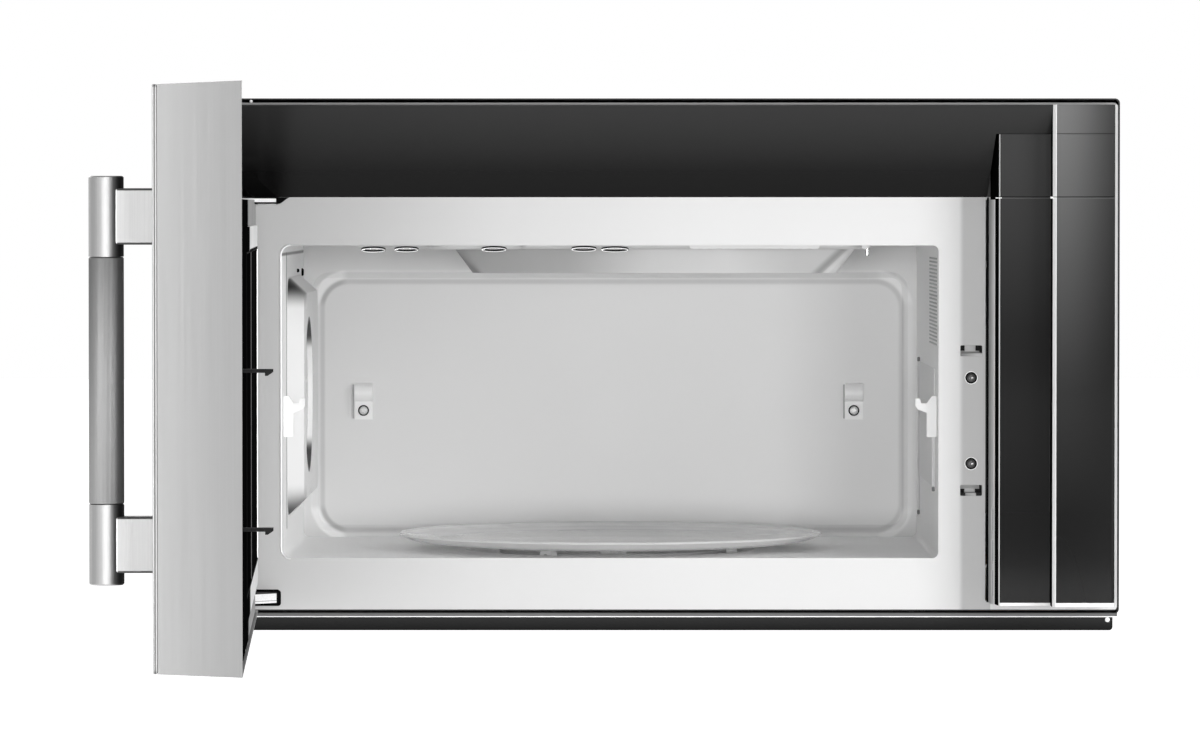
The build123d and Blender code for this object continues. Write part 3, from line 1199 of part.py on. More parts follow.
with BuildPart() as handle_bar:
    bar_low = HANDLE_Z - HANDLE_LENGTH / 2
    with BuildSketch(on_door(level(bar_low))):
        with Locations((LATCH_X, FRONT - HANDLE_REACH)):
            Circle(HANDLE_DIAMETER / 2)
    extrude(amount=HANDLE_LENGTH)
    chamfer(handle_bar.edges().filter_by(GeomType.CIRCLE), 1.0)
    # waist that the grip sleeve sits on
    with BuildSketch(on_door(level(HANDLE_Z - GRIP_LENGTH / 2))):
        with Locations((LATCH_X, FRONT - HANDLE_REACH)):
            Circle(HANDLE_DIAMETER / 2 + 1)
            Circle(HANDLE_DIAMETER / 2 - GRIP_WALL, mode=Mode.SUBTRACT)
    extrude(amount=GRIP_LENGTH, mode=Mode.SUBTRACT)
handle_bar.part.label = "handle_bar"
export_step(handle_bar.part, "parts/handle_bar.step")

with BuildPart() as handle_grip:
    with BuildSketch(on_door(level(HANDLE_Z - GRIP_LENGTH / 2 + FACE_GAP))):
        with Locations((LATCH_X, FRONT - HANDLE_REACH)):
            Circle(HANDLE_DIAMETER / 2)
            Circle(HANDLE_DIAMETER / 2 - GRIP_WALL + PIN_GAP, mode=Mode.SUBTRACT)
    extrude(amount=GRIP_LENGTH - 2 * FACE_GAP)
handle_grip.part.label = "handle_grip"
export_step(handle_grip.part, "parts/handle_grip.step")

with BuildPart() as handle_brackets:
    with BuildSketch(on_door(facing(DOOR_REACH))):
        with Locations((LATCH_X, HANDLE_Z)):
            with GridLocations(0, BRACKET_SPACING, 1, 2):
                RectangleRounded(BRACKET_WIDTH, BRACKET_HEIGHT, 2)
    extrude(amount=HANDLE_STANDOFF - HANDLE_DIAMETER / 2 + BRACKET_OVERLAP)
    with BuildSketch(on_door(level(HANDLE_Z - BRACKET_SPACING))):
        with Locations((LATCH_X, FRONT - HANDLE_REACH)):
            Circle(HANDLE_DIAMETER / 2)
    extrude(amount=2 * BRACKET_SPACING, mode=Mode.SUBTRACT)
handle_brackets.part.label = "handle_brackets"
export_step(handle_brackets.part, "parts/handle_brackets.step")

# ---------------------------------------------------------------- latch in the door


with BuildPart() as latch_bar:
    with BuildSketch(on_door(facing(LATCH_BAR_BACK))):
        with Locations((LATCH_X, (LATCH_BAR_LOW + LATCH_BAR_HIGH) / 2)):
            Rectangle(BLADE_WIDTH, LATCH_BAR_HIGH - LATCH_BAR_LOW)
    extrude(amount=LATCH_BAR_SHEET)
    for height in LATCH_HEIGHTS:
        with BuildSketch(on_door(side(LATCH_X - BLADE_WIDTH / 2))):
            blade_low = height - LATCH_SLOT_HEIGHT / 2 + LEDGE_HEIGHT + 0.8
            blade_high = blade_low + BLADE_THICKNESS
            tip = FRONT - DOOR_GAP + BLADE_REACH
            root = FRONT - LATCH_BAR_BACK
            with BuildLine():
                Polyline(
                    (root, blade_low),
                    (tip - 6, blade_low),
                    (tip - 6, blade_low - BLADE_LIP + 1),
                    (tip - 4, blade_low - BLADE_LIP + 1),
                    (tip, blade_low + 0.6),
                    (tip, blade_high),
                    (root, blade_high),
                    close=True,
                )
            make_face()
        extrude(amount=BLADE_WIDTH)
latch_bar.part.label = "latch_bar"
export_step(latch_bar.part, "parts/latch_bar.step")

spring_reach = LATCH_BAR_BACK + LATCH_BAR_SHEET / 2 + SPRING_RADIUS

with BuildPart() as latch_spring:
    spring_seat = on_door(level(SPRING_LOW))
    spring_origin = spring_seat.from_local_coords(Vector(LATCH_X, FRONT - spring_reach, 0))
    with BuildLine(Plane(origin=spring_origin, z_dir=(0, 0, 1))) as coil:
        Helix(pitch=SPRING_LENGTH / SPRING_TURNS, height=SPRING_LENGTH, radius=SPRING_RADIUS)
    with BuildSketch(Plane(origin=coil.line @ 0, z_dir=coil.line % 0)):
        Circle(SPRING_WIRE / 2)
    sweep(path=coil.line, is_frenet=True)
latch_spring.part.label = "latch_spring"
export_step(latch_spring.part, "parts/latch_spring.step")

# ---------------------------------------------------------------- turntable

TABLE_X = OPENING_X
TABLE_Y = CAVITY_MID
ROLLER_Z = WELL_FLOOR + TURN_GAP + ROLLER_RADIUS
TRAY_LOW = ROLLER_Z + ROLLER_RADIUS + TURN_GAP
table_centre = (TABLE_X, TABLE_Y)

with BuildPart() as glass_tray:
    # half section of the dish, turned about its middle
    with BuildSketch(Plane(origin=(TABLE_X, TABLE_Y, TRAY_LOW), x_dir=(1, 0, 0), z_dir=(0, -1, 0))):
        rim_low = TRAY_RISE - TRAY_THICKNESS
        with BuildLine():
            flat = TRAY_RADIUS - 46
            Polyline((0, TRAY_THICKNESS), (0, 0), (flat, 0))
            Spline((flat, 0), (TRAY_RADIUS - 20, 1.8), (TRAY_RADIUS - 4, rim_low + 1), tangents=((1, 0), (1, 0.6)))
            Line((TRAY_RADIUS - 4, rim_low + 1), (TRAY_RADIUS, TRAY_RISE - 1.5))
            Line((TRAY_RADIUS, TRAY_RISE - 1.5), (TRAY_RADIUS - 1.5, TRAY_RISE))
            Line((TRAY_RADIUS - 1.5, TRAY_RISE), (TRAY_RADIUS - 6, TRAY_RISE - 0.6))
            Spline(
                (TRAY_RADIUS - 6, TRAY_RISE - 0.6),
                (TRAY_RADIUS - 22, TRAY_THICKNESS + 1.6),
                (flat, TRAY_THICKNESS),
                tangents=((-1, -0.6), (-1, 0)),
            )
            Line((flat, TRAY_THICKNESS), (0, TRAY_THICKNESS))
        make_face()
    revolve(axis=Axis((TABLE_X, TABLE_Y, 0), (0, 0, 1)))
glass_tray.part.label = "glass_tray"
export_step(glass_tray.part, "parts/glass_tray.step")

COUPLER_LOW = WELL_FLOOR + 2.0
COUPLER_TOP = TRAY_LOW - FACE_GAP

with BuildPart() as tray_coupler:
    with BuildSketch(level(COUPLER_LOW)):
        with Locations(table_centre):
            Circle(COUPLER_RADIUS * 0.62)
            with PolarLocations(COUPLER_RADIUS * 0.62, 3):
                SlotOverall(COUPLER_RADIUS, COUPLER_RADIUS * 0.5)
    extrude(amount=COUPLER_TOP - COUPLER_LOW)
    with BuildSketch(level(COUPLER_LOW)):
        with Locations(table_centre):
            Circle(DRIVE_RADIUS)
    extrude(amount=-(CAVITY_SHEET + 2.0 + TABLE_MOTOR_HEIGHT / 2))
tray_coupler.part.label = "tray_coupler"
export_step(tray_coupler.part, "parts/tray_coupler.step")

with BuildPart() as table_motor:
    motor_top = WELL_FLOOR - CAVITY_SHEET
    with BuildSketch(level(motor_top)):
        with Locations(table_centre):
            Circle(TABLE_MOTOR_RADIUS)
    extrude(amount=-TABLE_MOTOR_HEIGHT)
    with BuildSketch(level(motor_top)):
        with Locations(table_centre):
            SlotOverall(2 * TABLE_MOTOR_RADIUS + 22, 12)
    extrude(amount=-2)
    with BuildSketch(level(motor_top)):
        with Locations(table_centre):
            Circle(DRIVE_RADIUS + PIN_GAP)
    extrude(amount=-(TABLE_MOTOR_HEIGHT / 2 + 1), mode=Mode.SUBTRACT)
table_motor.part.label = "table_motor"
export_step(table_motor.part, "parts/table_motor.step")

with BuildPart() as roller_ring:
    ring_low = ROLLER_Z - RING_THICKNESS / 2
    with BuildSketch(level(ring_low)):
        with Locations(table_centre):
            Circle(RING_RADIUS + RING_WIDTH / 2)
            Circle(RING_RADIUS - RING_WIDTH / 2, mode=Mode.SUBTRACT)
    extrude(amount=RING_THICKNESS)
    # a stub axle for each roller
    for turn in (0, 120, 240):
        axle_dir = Vector(cos(radians(turn)), sin(radians(turn)), 0)
        axle_foot = Vector(TABLE_X, TABLE_Y, ROLLER_Z) + axle_dir * (RING_RADIUS)
        with BuildSketch(Plane(origin=axle_foot, z_dir=axle_dir)):
            Circle(AXLE_RADIUS)
        extrude(amount=ROLLER_TRACK - RING_RADIUS + ROLLER_WIDTH / 2 + 0.8)
roller_ring.part.label = "roller_ring"
export_step(roller_ring.part, "parts/roller_ring.step")

for letter, turn in (("a", 0), ("b", 120), ("c", 240)):
    axle_dir = Vector(cos(radians(turn)), sin(radians(turn)), 0)
    roller_foot = Vector(TABLE_X, TABLE_Y, ROLLER_Z) + axle_dir * (ROLLER_TRACK - ROLLER_WIDTH / 2)
    with BuildPart() as roller:
        with BuildSketch(Plane(origin=roller_foot, z_dir=axle_dir)):
            Circle(ROLLER_RADIUS)
            Circle(AXLE_RADIUS + PIN_GAP, mode=Mode.SUBTRACT)
        extrude(amount=ROLLER_WIDTH)
    roller.part.label = f"roller_{letter}"
    export_step(roller.part, f"parts/roller_{letter}.step")

# ---------------------------------------------------------------- convection unit

CAN_X = PANEL_BACK - FACE_GAP
fan_centre = (FAN_Y, FAN_Z)

with BuildPart() as convection_can:
    # plate behind the fan cover that carries the can
    with BuildSketch(side(CAN_X)):
        with Locations((panel_mid_y, panel_mid_z)):
            RectangleRounded(
                panel_deep + 2 * PANEL_FLANGE, panel_tall + 2 * PANEL_FLANGE, PANEL_RADIUS
            )
    extrude(amount=-CAVITY_SHEET)
    with BuildSketch(side(CAN_X)):
        with Locations(fan_centre):
            Circle(CAN_RADIUS)
    extrude(amount=-CAN_DEPTH)
    with BuildSketch(side(CAN_X)):
        with Locations(fan_centre):
            Circle(CAN_RADIUS - CAVITY_SHEET)
    extrude(amount=-(CAN_DEPTH - CAVITY_SHEET), mode=Mode.SUBTRACT)
    with BuildSketch(side(CAN_X)):
        with Locations(fan_centre):
            Circle(FAN_SHAFT + 3)
    extrude(amount=-CAN_DEPTH, mode=Mode.SUBTRACT)
convection_can.part.label = "convection_can"
export_step(convection_can.part, "parts/convection_can.step")

with BuildPart() as convection_heater:
    heater_x = CAN_X - CAN_DEPTH / 2
    with BuildSketch(Plane(origin=(heater_x, FAN_Y + HEATER_RADIUS, FAN_Z), z_dir=(0, 0, 1))):
        Circle(HEATER_TUBE)
    revolve(axis=Axis((heater_x, FAN_Y, FAN_Z), (1, 0, 0)))
    # three lugs hold the ring to the back of the can
    with BuildSketch(side(heater_x)):
        with Locations(fan_centre):
            with PolarLocations(HEATER_RADIUS, 3):
                Circle(HEATER_TUBE / 2)
    extrude(amount=-(CAN_DEPTH / 2 - CAVITY_SHEET))
convection_heater.part.label = "convection_heater"
export_step(convection_heater.part, "parts/convection_heater.step")

with BuildPart() as convection_fan:
    fan_back = CAN_X - CAN_DEPTH + CAVITY_SHEET + 2.5
    with BuildSketch(side(fan_back)):
        with Locations(fan_centre):
            Circle(FAN_RADIUS)
    extrude(amount=1.2)
    with BuildSketch(side(fan_back)):
        with Locations(fan_centre):
            with PolarLocations(FAN_RADIUS * 0.62, FAN_BLADES):
                Rectangle(FAN_RADIUS * 0.7, 1.4)
    extrude(amount=CAN_DEPTH * 0.62)
    with BuildSketch(side(fan_back + CAN_DEPTH * 0.4)):
        with Locations(fan_centre):
            Circle(3 * FAN_SHAFT)
    extrude(amount=-CAN_DEPTH * 0.4)
    with BuildSketch(side(fan_back)):
        with Locations(fan_centre):
            Circle(FAN_SHAFT)
    extrude(amount=CAN_X - CAN_DEPTH - FACE_GAP - FAN_MOTOR_LENGTH / 2 - fan_back)
convection_fan.part.label = "convection_fan"
export_step(convection_fan.part, "parts/convection_fan.step")

with BuildPart() as convection_motor:
    motor_face = CAN_X - CAN_DEPTH - FACE_GAP
    with BuildSketch(side(motor_face)):
        with Locations(fan_centre):
            Circle(FAN_MOTOR_RADIUS)
    extrude(amount=-FAN_MOTOR_LENGTH)
    with BuildSketch(side(motor_face)):
        with Locations(fan_centre):
            Circle(FAN_SHAFT + PIN_GAP)
    extrude(amount=-(FAN_MOTOR_LENGTH / 2 + 1), mode=Mode.SUBTRACT)
convection_motor.part.label = "convection_motor"
export_step(convection_motor.part, "parts/convection_motor.step")

# ---------------------------------------------------------------- ventilation blower and damper

BLOWER_Z = LINER_TOP + FACE_GAP + BLOWER_RADIUS
blower_centre = (BLOWER_Y, BLOWER_Z)
OUTLET_TOP = CASE_TOP_INSIDE - FACE_GAP
DAMPER_Z = OUTLET_TOP - 6
DAMPER_Y = BLOWER_Y - BLOWER_RADIUS + DUCT_DEPTH - BLOWER_SHEET - 2.5

with BuildPart() as blower_housing:
    outlet_mid, outlet_deep = span(BLOWER_Y - BLOWER_RADIUS, BLOWER_Y - BLOWER_RADIUS + DUCT_DEPTH)
    for inset, mode in ((0, Mode.ADD), (BLOWER_SHEET, Mode.SUBTRACT)):
        with BuildSketch(side(-DUCT_WIDTH / 2 + inset)):
            with Locations(blower_centre):
                Circle(BLOWER_RADIUS - inset)
            with Locations((outlet_mid, BLOWER_Z)):
                Rectangle(
                    outlet_deep - 2 * inset, OUTLET_TOP - BLOWER_Z, align=(Align.CENTER, Align.MIN)
                )
        extrude(amount=DUCT_WIDTH - 2 * inset, mode=mode)
    # inlets in both end walls, and the damper's pivot holes
    with BuildSketch(side(-DUCT_WIDTH / 2)):
        with Locations(blower_centre):
            Circle(INLET_RADIUS)
        with Locations((DAMPER_Y, DAMPER_Z)):
            Circle(DAMPER_PIN + PIN_GAP)
    extrude(amount=DUCT_WIDTH, mode=Mode.SUBTRACT)
blower_housing.part.label = "blower_housing"
export_step(blower_housing.part, "parts/blower_housing.step")

with BuildPart() as blower_motor:
    with BuildSketch(side(-BLOWER_MOTOR_LENGTH / 2)):
        with Locations(blower_centre):
            Circle(BLOWER_MOTOR_RADIUS)
    extrude(amount=BLOWER_MOTOR_LENGTH)
    # saddle down to the housing
    with BuildSketch(side(-BLOWER_MOTOR_LENGTH / 4)):
        with Locations((BLOWER_Y, BLOWER_Z - BLOWER_RADIUS + BLOWER_SHEET + 1.6)):
            Rectangle(18, BLOWER_RADIUS - 4, align=(Align.CENTER, Align.MIN))
    extrude(amount=BLOWER_MOTOR_LENGTH / 2)
    with BuildSketch(side(-BLOWER_MOTOR_LENGTH / 2)):
        with Locations(blower_centre):
            Circle(BLOWER_SHAFT + PIN_GAP)
    extrude(amount=BLOWER_MOTOR_LENGTH, mode=Mode.SUBTRACT)
blower_motor.part.label = "blower_motor"
export_step(blower_motor.part, "parts/blower_motor.step")

with BuildPart() as blower_wheels:
    wheel_inner = BLOWER_MOTOR_LENGTH / 2 + 4
    with BuildSketch(side(wheel_inner)):
        with Locations(blower_centre):
            Circle(WHEEL_RADIUS)
    extrude(amount=BLADE_SHEET)
    with BuildSketch(side(wheel_inner)):
        with Locations(blower_centre):
            with PolarLocations(WHEEL_RADIUS - 4, WHEEL_BLADES):
                Rectangle(7, BLADE_SHEET, rotation=35)
    extrude(amount=WHEEL_LENGTH)
    with BuildSketch(side(wheel_inner + WHEEL_LENGTH)):
        with Locations(blower_centre):
            Circle(WHEEL_RADIUS)
            Circle(WHEEL_RADIUS - 8, mode=Mode.SUBTRACT)
    extrude(amount=-BLADE_SHEET)
    mirror(about=Plane.YZ)
    with BuildSketch(side(-wheel_inner - 14)):
        with Locations(blower_centre):
            Circle(BLOWER_SHAFT)
    extrude(amount=2 * wheel_inner + 28)
blower_wheels.part.label = "blower_wheels"
export_step(blower_wheels.part, "parts/blower_wheels.step")

with BuildPart() as damper_flap:
    flap_wide = DUCT_WIDTH - 2 * BLOWER_SHEET - 2 * DAMPER_SIDE_GAP
    flap_front = BLOWER_Y - BLOWER_RADIUS + BLOWER_SHEET + 1.5
    with BuildSketch(level(DAMPER_Z - DAMPER_SHEET / 2)):
        flap_mid, flap_deep = span(flap_front, DAMPER_Y)
        with Locations((0, flap_mid)):
            Rectangle(flap_wide, flap_deep)
    extrude(amount=DAMPER_SHEET)
    with BuildSketch(side(-DUCT_WIDTH / 2)):
        with Locations((DAMPER_Y, DAMPER_Z)):
            Circle(DAMPER_PIN)
    extrude(amount=DUCT_WIDTH)
damper_flap.part.label = "damper_flap"
export_step(damper_flap.part, "parts/damper_flap.step")

# ---------------------------------------------------------------- filters and lamp lenses

with BuildPart() as grease_filters:
    with BuildSketch(level(PAN_SHEET)):
        with Locations((0, FILTER_Y)):
            with GridLocations(2 * FILTER_X, 0, 2, 1):
                RectangleRounded(FILTER_WIDTH, FILTER_LENGTH, 6)
    extrude(amount=FILTER_THICKNESS)
    # frame stands proud of the mesh on both faces
    for face_z, cut in ((PAN_SHEET, 1.5), (PAN_SHEET + FILTER_THICKNESS, -1.5)):
        with BuildSketch(level(face_z)):
            with Locations((0, FILTER_Y)):
                with GridLocations(2 * FILTER_X, 0, 2, 1):
                    RectangleRounded(
                        FILTER_WIDTH - 3 * FILTER_EDGE, FILTER_LENGTH - 3 * FILTER_EDGE, 5
                    )
        extrude(amount=cut, mode=Mode.SUBTRACT)
grease_filters.part.label = "grease_filters"
export_step(grease_filters.part, "parts/grease_filters.step")

with BuildPart() as lamp_lenses:
    with BuildSketch(level(PAN_SHEET)):
        with Locations((0, LENS_Y)):
            with GridLocations(2 * LENS_X, 0, 2, 1):
                RectangleRounded(LENS_WIDTH, LENS_DEPTH, 4)
    extrude(amount=3)
lamp_lenses.part.label = "lamp_lenses"
export_step(lamp_lenses.part, "parts/lamp_lenses.step")

with BuildPart() as charcoal_filter:
    with BuildSketch(facing(-PLATE_SHEET)):
        with Locations((AIR_X, air_mid)):
            Rectangle(AIR_WIDTH + 12, air_tall + 12)
    extrude(amount=-CHARCOAL_DEPTH)
charcoal_filter.part.label = "charcoal_filter"
export_step(charcoal_filter.part, "parts/charcoal_filter.step")

# ---------------------------------------------------------------- electrical parts

LINER_RIGHT = OPENING_RIGHT + CAVITY_SHEET

with BuildPart() as waveguide:
    guide_x, guide_y, guide_z = WAVEGUIDE_SIZE
    with Locations((LINER_RIGHT + FACE_GAP, MAGNETRON_Y, MAGNETRON_Z)):
        Box(guide_x, guide_y, guide_z, align=(Align.MIN, Align.CENTER, Align.CENTER))
    fillet(waveguide.edges().filter_by(Axis.X), 4)
waveguide.part.label = "waveguide"
export_step(waveguide.part, "parts/waveguide.step")

with BuildPart() as magnetron:
    tube_x, tube_y, tube_z = MAGNETRON_SIZE
    tube_foot = LINER_RIGHT + 2 * FACE_GAP + guide_x
    with Locations((tube_foot, MAGNETRON_Y, MAGNETRON_Z)):
        Box(tube_x, tube_y, tube_z, align=(Align.MIN, Align.CENTER, Align.CENTER))
    # yoke open at both sides over a stack of cooling fins
    with Locations((tube_foot + tube_x / 2, MAGNETRON_Y, MAGNETRON_Z)):
        Box(tube_x - 16, tube_y + 2, tube_z - 12, mode=Mode.SUBTRACT)
    with Locations((tube_foot, MAGNETRON_Y, MAGNETRON_Z)):
        Cylinder(18, tube_x - 4, rotation=(0, 90, 0), align=(Align.CENTER, Align.CENTER, Align.MIN))
    for fin in range(6):
        with Locations((tube_foot + 14 + fin * 10, MAGNETRON_Y, MAGNETRON_Z)):
            Box(1.2, tube_y - 6, tube_z - 12)
magnetron.part.label = "magnetron"
export_step(magnetron.part, "parts/magnetron.step")

with BuildPart() as power_transformer:
    core_x, core_y, core_z = CORE_SIZE
    coil_x, coil_y, coil_z = COIL_SIZE
    with Locations((TRANSFORMER_X, TRANSFORMER_Y, PAN_SHEET)):
        Box(core_x, core_y, core_z, align=(Align.CENTER, Align.CENTER, Align.MIN))
    with Locations((TRANSFORMER_X, TRANSFORMER_Y, PAN_SHEET + core_z / 2)):
        Box(coil_x, coil_y, coil_z)
    fillet(power_transformer.edges().filter_by(Axis.Z).group_by(Axis.Y)[0], 8)
    fillet(power_transformer.edges().filter_by(Axis.Z).group_by(Axis.Y)[-1], 8)
power_transformer.part.label = "power_transformer"
export_step(power_transformer.part, "parts/power_transformer.step")

with BuildPart() as capacitor:
    can_x, can_y, can_z = CAPACITOR_SIZE
    with BuildSketch(level(PAN_SHEET)):
        with Locations((CAPACITOR_X, CAPACITOR_Y)):
            SlotOverall(can_y, can_x, rotation=90)
    extrude(amount=can_z)
    with BuildSketch(level(PAN_SHEET + can_z)):
        with Locations((CAPACITOR_X, CAPACITOR_Y)):
            with GridLocations(0, can_y / 2, 1, 2):
                Circle(4)
    extrude(amount=8)
capacitor.part.label = "capacitor"
export_step(capacitor.part, "parts/capacitor.step")

with BuildPart() as control_board:
    board_x = (HIGH_STEP_LEFT + HIGH_STEP_RIGHT) / 2
    board_z = (COLUMN_LOW_Z + FASCIA_HIGH) / 2
    with BuildSketch(facing(BOARD_STANDOFF)):
        with Locations((board_x, board_z)):
            Rectangle(BOARD_WIDTH, BOARD_HEIGHT)
    extrude(amount=BOARD_THICKNESS)
    with BuildSketch(facing()):
        with Locations((board_x, board_z)):
            with GridLocations(BOARD_WIDTH - 8, BOARD_HEIGHT - 10, 2, 2):
                Circle(3)
    extrude(amount=BOARD_STANDOFF)
    with BuildSketch(facing(BOARD_STANDOFF + BOARD_THICKNESS)):
        with Locations((board_x, board_z)):
            with GridLocations(0, 60, 1, 4):
                Rectangle(18, 22)
    extrude(amount=9)
control_board.part.label = "control_board"
export_step(control_board.part, "parts/control_board.step")

with BuildPart() as cavity_lamp:
    with BuildSketch(level(LINER_TOP)):
        with Locations((OPENING_RIGHT - 40, FRONT + 120)):
            Circle(LAMP_RADIUS + 3)
    extrude(amount=14)
    with BuildSketch(level(LINER_TOP + 14)):
        with Locations((OPENING_RIGHT - 40, FRONT + 120)):
            Circle(LAMP_RADIUS)
    extrude(amount=LAMP_HEIGHT - 14)
    fillet(cavity_lamp.edges().group_by(Axis.Z)[-1], LAMP_RADIUS * 0.6)
cavity_lamp.part.label = "cavity_lamp"
export_step(cavity_lamp.part, "parts/cavity_lamp.step")

with BuildPart() as cord_grommet:
    rim_low = CASE_TOP_INSIDE - GROMMET_RIM
    with BuildSketch(level(rim_low)):
        with Locations((GROMMET_X, GROMMET_Y)):
            Circle(GROMMET_FLANGE)
    extrude(amount=GROMMET_RIM)
    with BuildSketch(level(CASE_TOP_INSIDE)):
        with Locations((GROMMET_X, GROMMET_Y)):
            Circle(GROMMET_NECK)
    extrude(amount=CASE_SHEET)
    with BuildSketch(level(CASE_HEIGHT)):
        with Locations((GROMMET_X, GROMMET_Y)):
            Circle(GROMMET_FLANGE)
    extrude(amount=GROMMET_RIM)
    fillet(cord_grommet.edges().filter_by(GeomType.CIRCLE).group_by(Axis.Z)[-1], 1)
    with BuildSketch(level(rim_low)):
        with Locations((GROMMET_X, GROMMET_Y)):
            Circle(GROMMET_BORE)
    extrude(amount=2 * GROMMET_RIM + CASE_SHEET, mode=Mode.SUBTRACT)
cord_grommet.part.label = "cord_grommet"
export_step(cord_grommet.part, "parts/cord_grommet.step")
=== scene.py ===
from math import atan2, cos, pi, radians, sin

import bmesh
import bpy
from mathutils import Euler, Matrix, Vector


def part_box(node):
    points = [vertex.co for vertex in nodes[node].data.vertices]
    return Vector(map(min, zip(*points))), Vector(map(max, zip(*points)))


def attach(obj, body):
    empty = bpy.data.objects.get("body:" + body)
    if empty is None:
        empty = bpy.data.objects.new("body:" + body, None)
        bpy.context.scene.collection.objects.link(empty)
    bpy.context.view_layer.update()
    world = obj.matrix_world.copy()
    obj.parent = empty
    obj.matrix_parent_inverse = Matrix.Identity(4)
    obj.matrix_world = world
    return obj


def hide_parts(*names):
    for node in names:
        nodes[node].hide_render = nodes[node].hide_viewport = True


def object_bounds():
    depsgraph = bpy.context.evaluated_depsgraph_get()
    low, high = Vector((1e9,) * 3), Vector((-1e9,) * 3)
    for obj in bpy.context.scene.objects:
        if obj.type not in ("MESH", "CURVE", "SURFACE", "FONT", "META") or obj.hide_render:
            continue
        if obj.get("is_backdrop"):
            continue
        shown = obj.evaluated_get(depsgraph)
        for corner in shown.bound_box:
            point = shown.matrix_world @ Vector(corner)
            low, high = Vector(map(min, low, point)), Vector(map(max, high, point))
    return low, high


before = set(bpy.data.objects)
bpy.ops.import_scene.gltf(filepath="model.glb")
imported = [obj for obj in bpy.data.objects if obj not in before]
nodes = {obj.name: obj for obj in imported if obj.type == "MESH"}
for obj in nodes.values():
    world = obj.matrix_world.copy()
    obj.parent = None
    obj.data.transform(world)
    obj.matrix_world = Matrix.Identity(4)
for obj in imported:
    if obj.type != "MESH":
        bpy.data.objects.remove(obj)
cad_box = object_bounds()

# The door stands open by this turn about its hinge, and its pieces are drawn as when it is shut.
OPEN_ANGLE = 87.7
HINGE_X = -358.0
HINGE_Y = -438.0
FRONT = -410.0                 # the front plate's face
DOOR_DEPTH = 65.0              # how far the shut door's glass stands before it
door_turn = (
    Matrix.Translation((HINGE_X, HINGE_Y, 0))
    @ Matrix.Rotation(radians(-OPEN_ANGLE), 4, "Z")
    @ Matrix.Translation((-HINGE_X, -HINGE_Y, 0))
)


def corners_of(node):
    """Lowest and highest corner of a CAD node, in millimetres."""
    low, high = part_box(node)
    return Vector(low) * 1000, Vector(high) * 1000


def islands(node):
    """Boxes, in millimetres, of the separate bodies in one CAD node."""
    mesh = bmesh.new()
    mesh.from_mesh(nodes[node].data)
    bmesh.ops.remove_doubles(mesh, verts=mesh.verts, dist=1e-6)
    waiting = set(mesh.verts)
    boxes = []
    while waiting:
        reached = [waiting.pop()]
        spots = []
        while reached:
            vert = reached.pop()
            spots.append(vert.co * 1000)
            for rim in vert.link_edges:
                other = rim.other_vert(vert)
                if other in waiting:
                    waiting.remove(other)
                    reached.append(other)
        low = Vector([min(spot[i] for spot in spots) for i in range(3)])
        high = Vector([max(spot[i] for spot in spots) for i in range(3)])
        boxes.append((low, high))
    mesh.free()
    return sorted(boxes, key=lambda box: tuple(box[0]))


# ------------------------------------------------------------------ shader maths


class Signal:
    """A shader socket that can be reckoned with like a number."""

    def __init__(self, weave, socket):
        self.weave = weave
        self.socket = socket

    def maths(self, operation, *values):
        return self.weave.node("ShaderNodeMath", {"operation": operation}, dict(enumerate(values)))

    def __add__(self, other):
        return self.maths("ADD", self, other)

    def __radd__(self, other):
        return self.maths("ADD", other, self)

    def __sub__(self, other):
        return self.maths("SUBTRACT", self, other)

    def __rsub__(self, other):
        return self.maths("SUBTRACT", other, self)

    def __mul__(self, other):
        return self.maths("MULTIPLY", self, other)

    def __rmul__(self, other):
        return self.maths("MULTIPLY", other, self)

    def sine(self):
        return self.maths("SINE", self)

    def size(self):
        return self.maths("ABSOLUTE", self)

    def root(self):
        return self.maths("SQRT", self)

    def least(self, other):
        return self.maths("MINIMUM", self, other)

    def most(self, other):
        return self.maths("MAXIMUM", self, other)

    def within(self, low, high, soft=0.0004):
        """1 between low and high, with a soft edge."""
        return self.ramp(low - soft, low + soft) * (1 - self.ramp(high - soft, high + soft))

    def ramp(self, low, high):
        """0 at low and 1 at high, smooth between them."""
        settings = {"interpolation_type": "SMOOTHSTEP"}
        return self.weave.node("ShaderNodeMapRange", settings, {"Value": self, "From Min": low, "From Max": high})


class Weave:
    """A node tree that is built by calls."""

    def __init__(self, tree):
        self.tree = tree

    def node(self, kind, settings=None, inputs=None, output=0):
        made = self.tree.nodes.new(kind)
        for key, value in (settings or {}).items():
            if key == "stops":
                ramp = made.color_ramp
                while len(ramp.elements) < len(value):
                    ramp.elements.new(0.5)
                for element, (place, shade) in zip(ramp.elements, value):
                    element.position = place
                    element.color = (*shade, 1)
            else:
                setattr(made, key, value)
        for key, value in (inputs or {}).items():
            if isinstance(value, Signal):
                self.tree.links.new(value.socket, made.inputs[key])
            else:
                made.inputs[key].default_value = value
        return Signal(self, made.outputs[output]) if made.outputs else made

    def axes(self, vector):
        """The three numbers of a vector, as signals."""
        split = self.node("ShaderNodeSeparateXYZ", {}, {0: vector}).socket.node
        return [Signal(self, split.outputs[i]) for i in range(3)]

    def grade(self, signal, *stops):
        return self.node("ShaderNodeValToRGB", {"stops": stops}, {"Fac": signal})

    def blend(self, share, one, two):
        return self.node("ShaderNodeMix", {"data_type": "RGBA"}, {0: share, 6: one, 7: two}, 2)


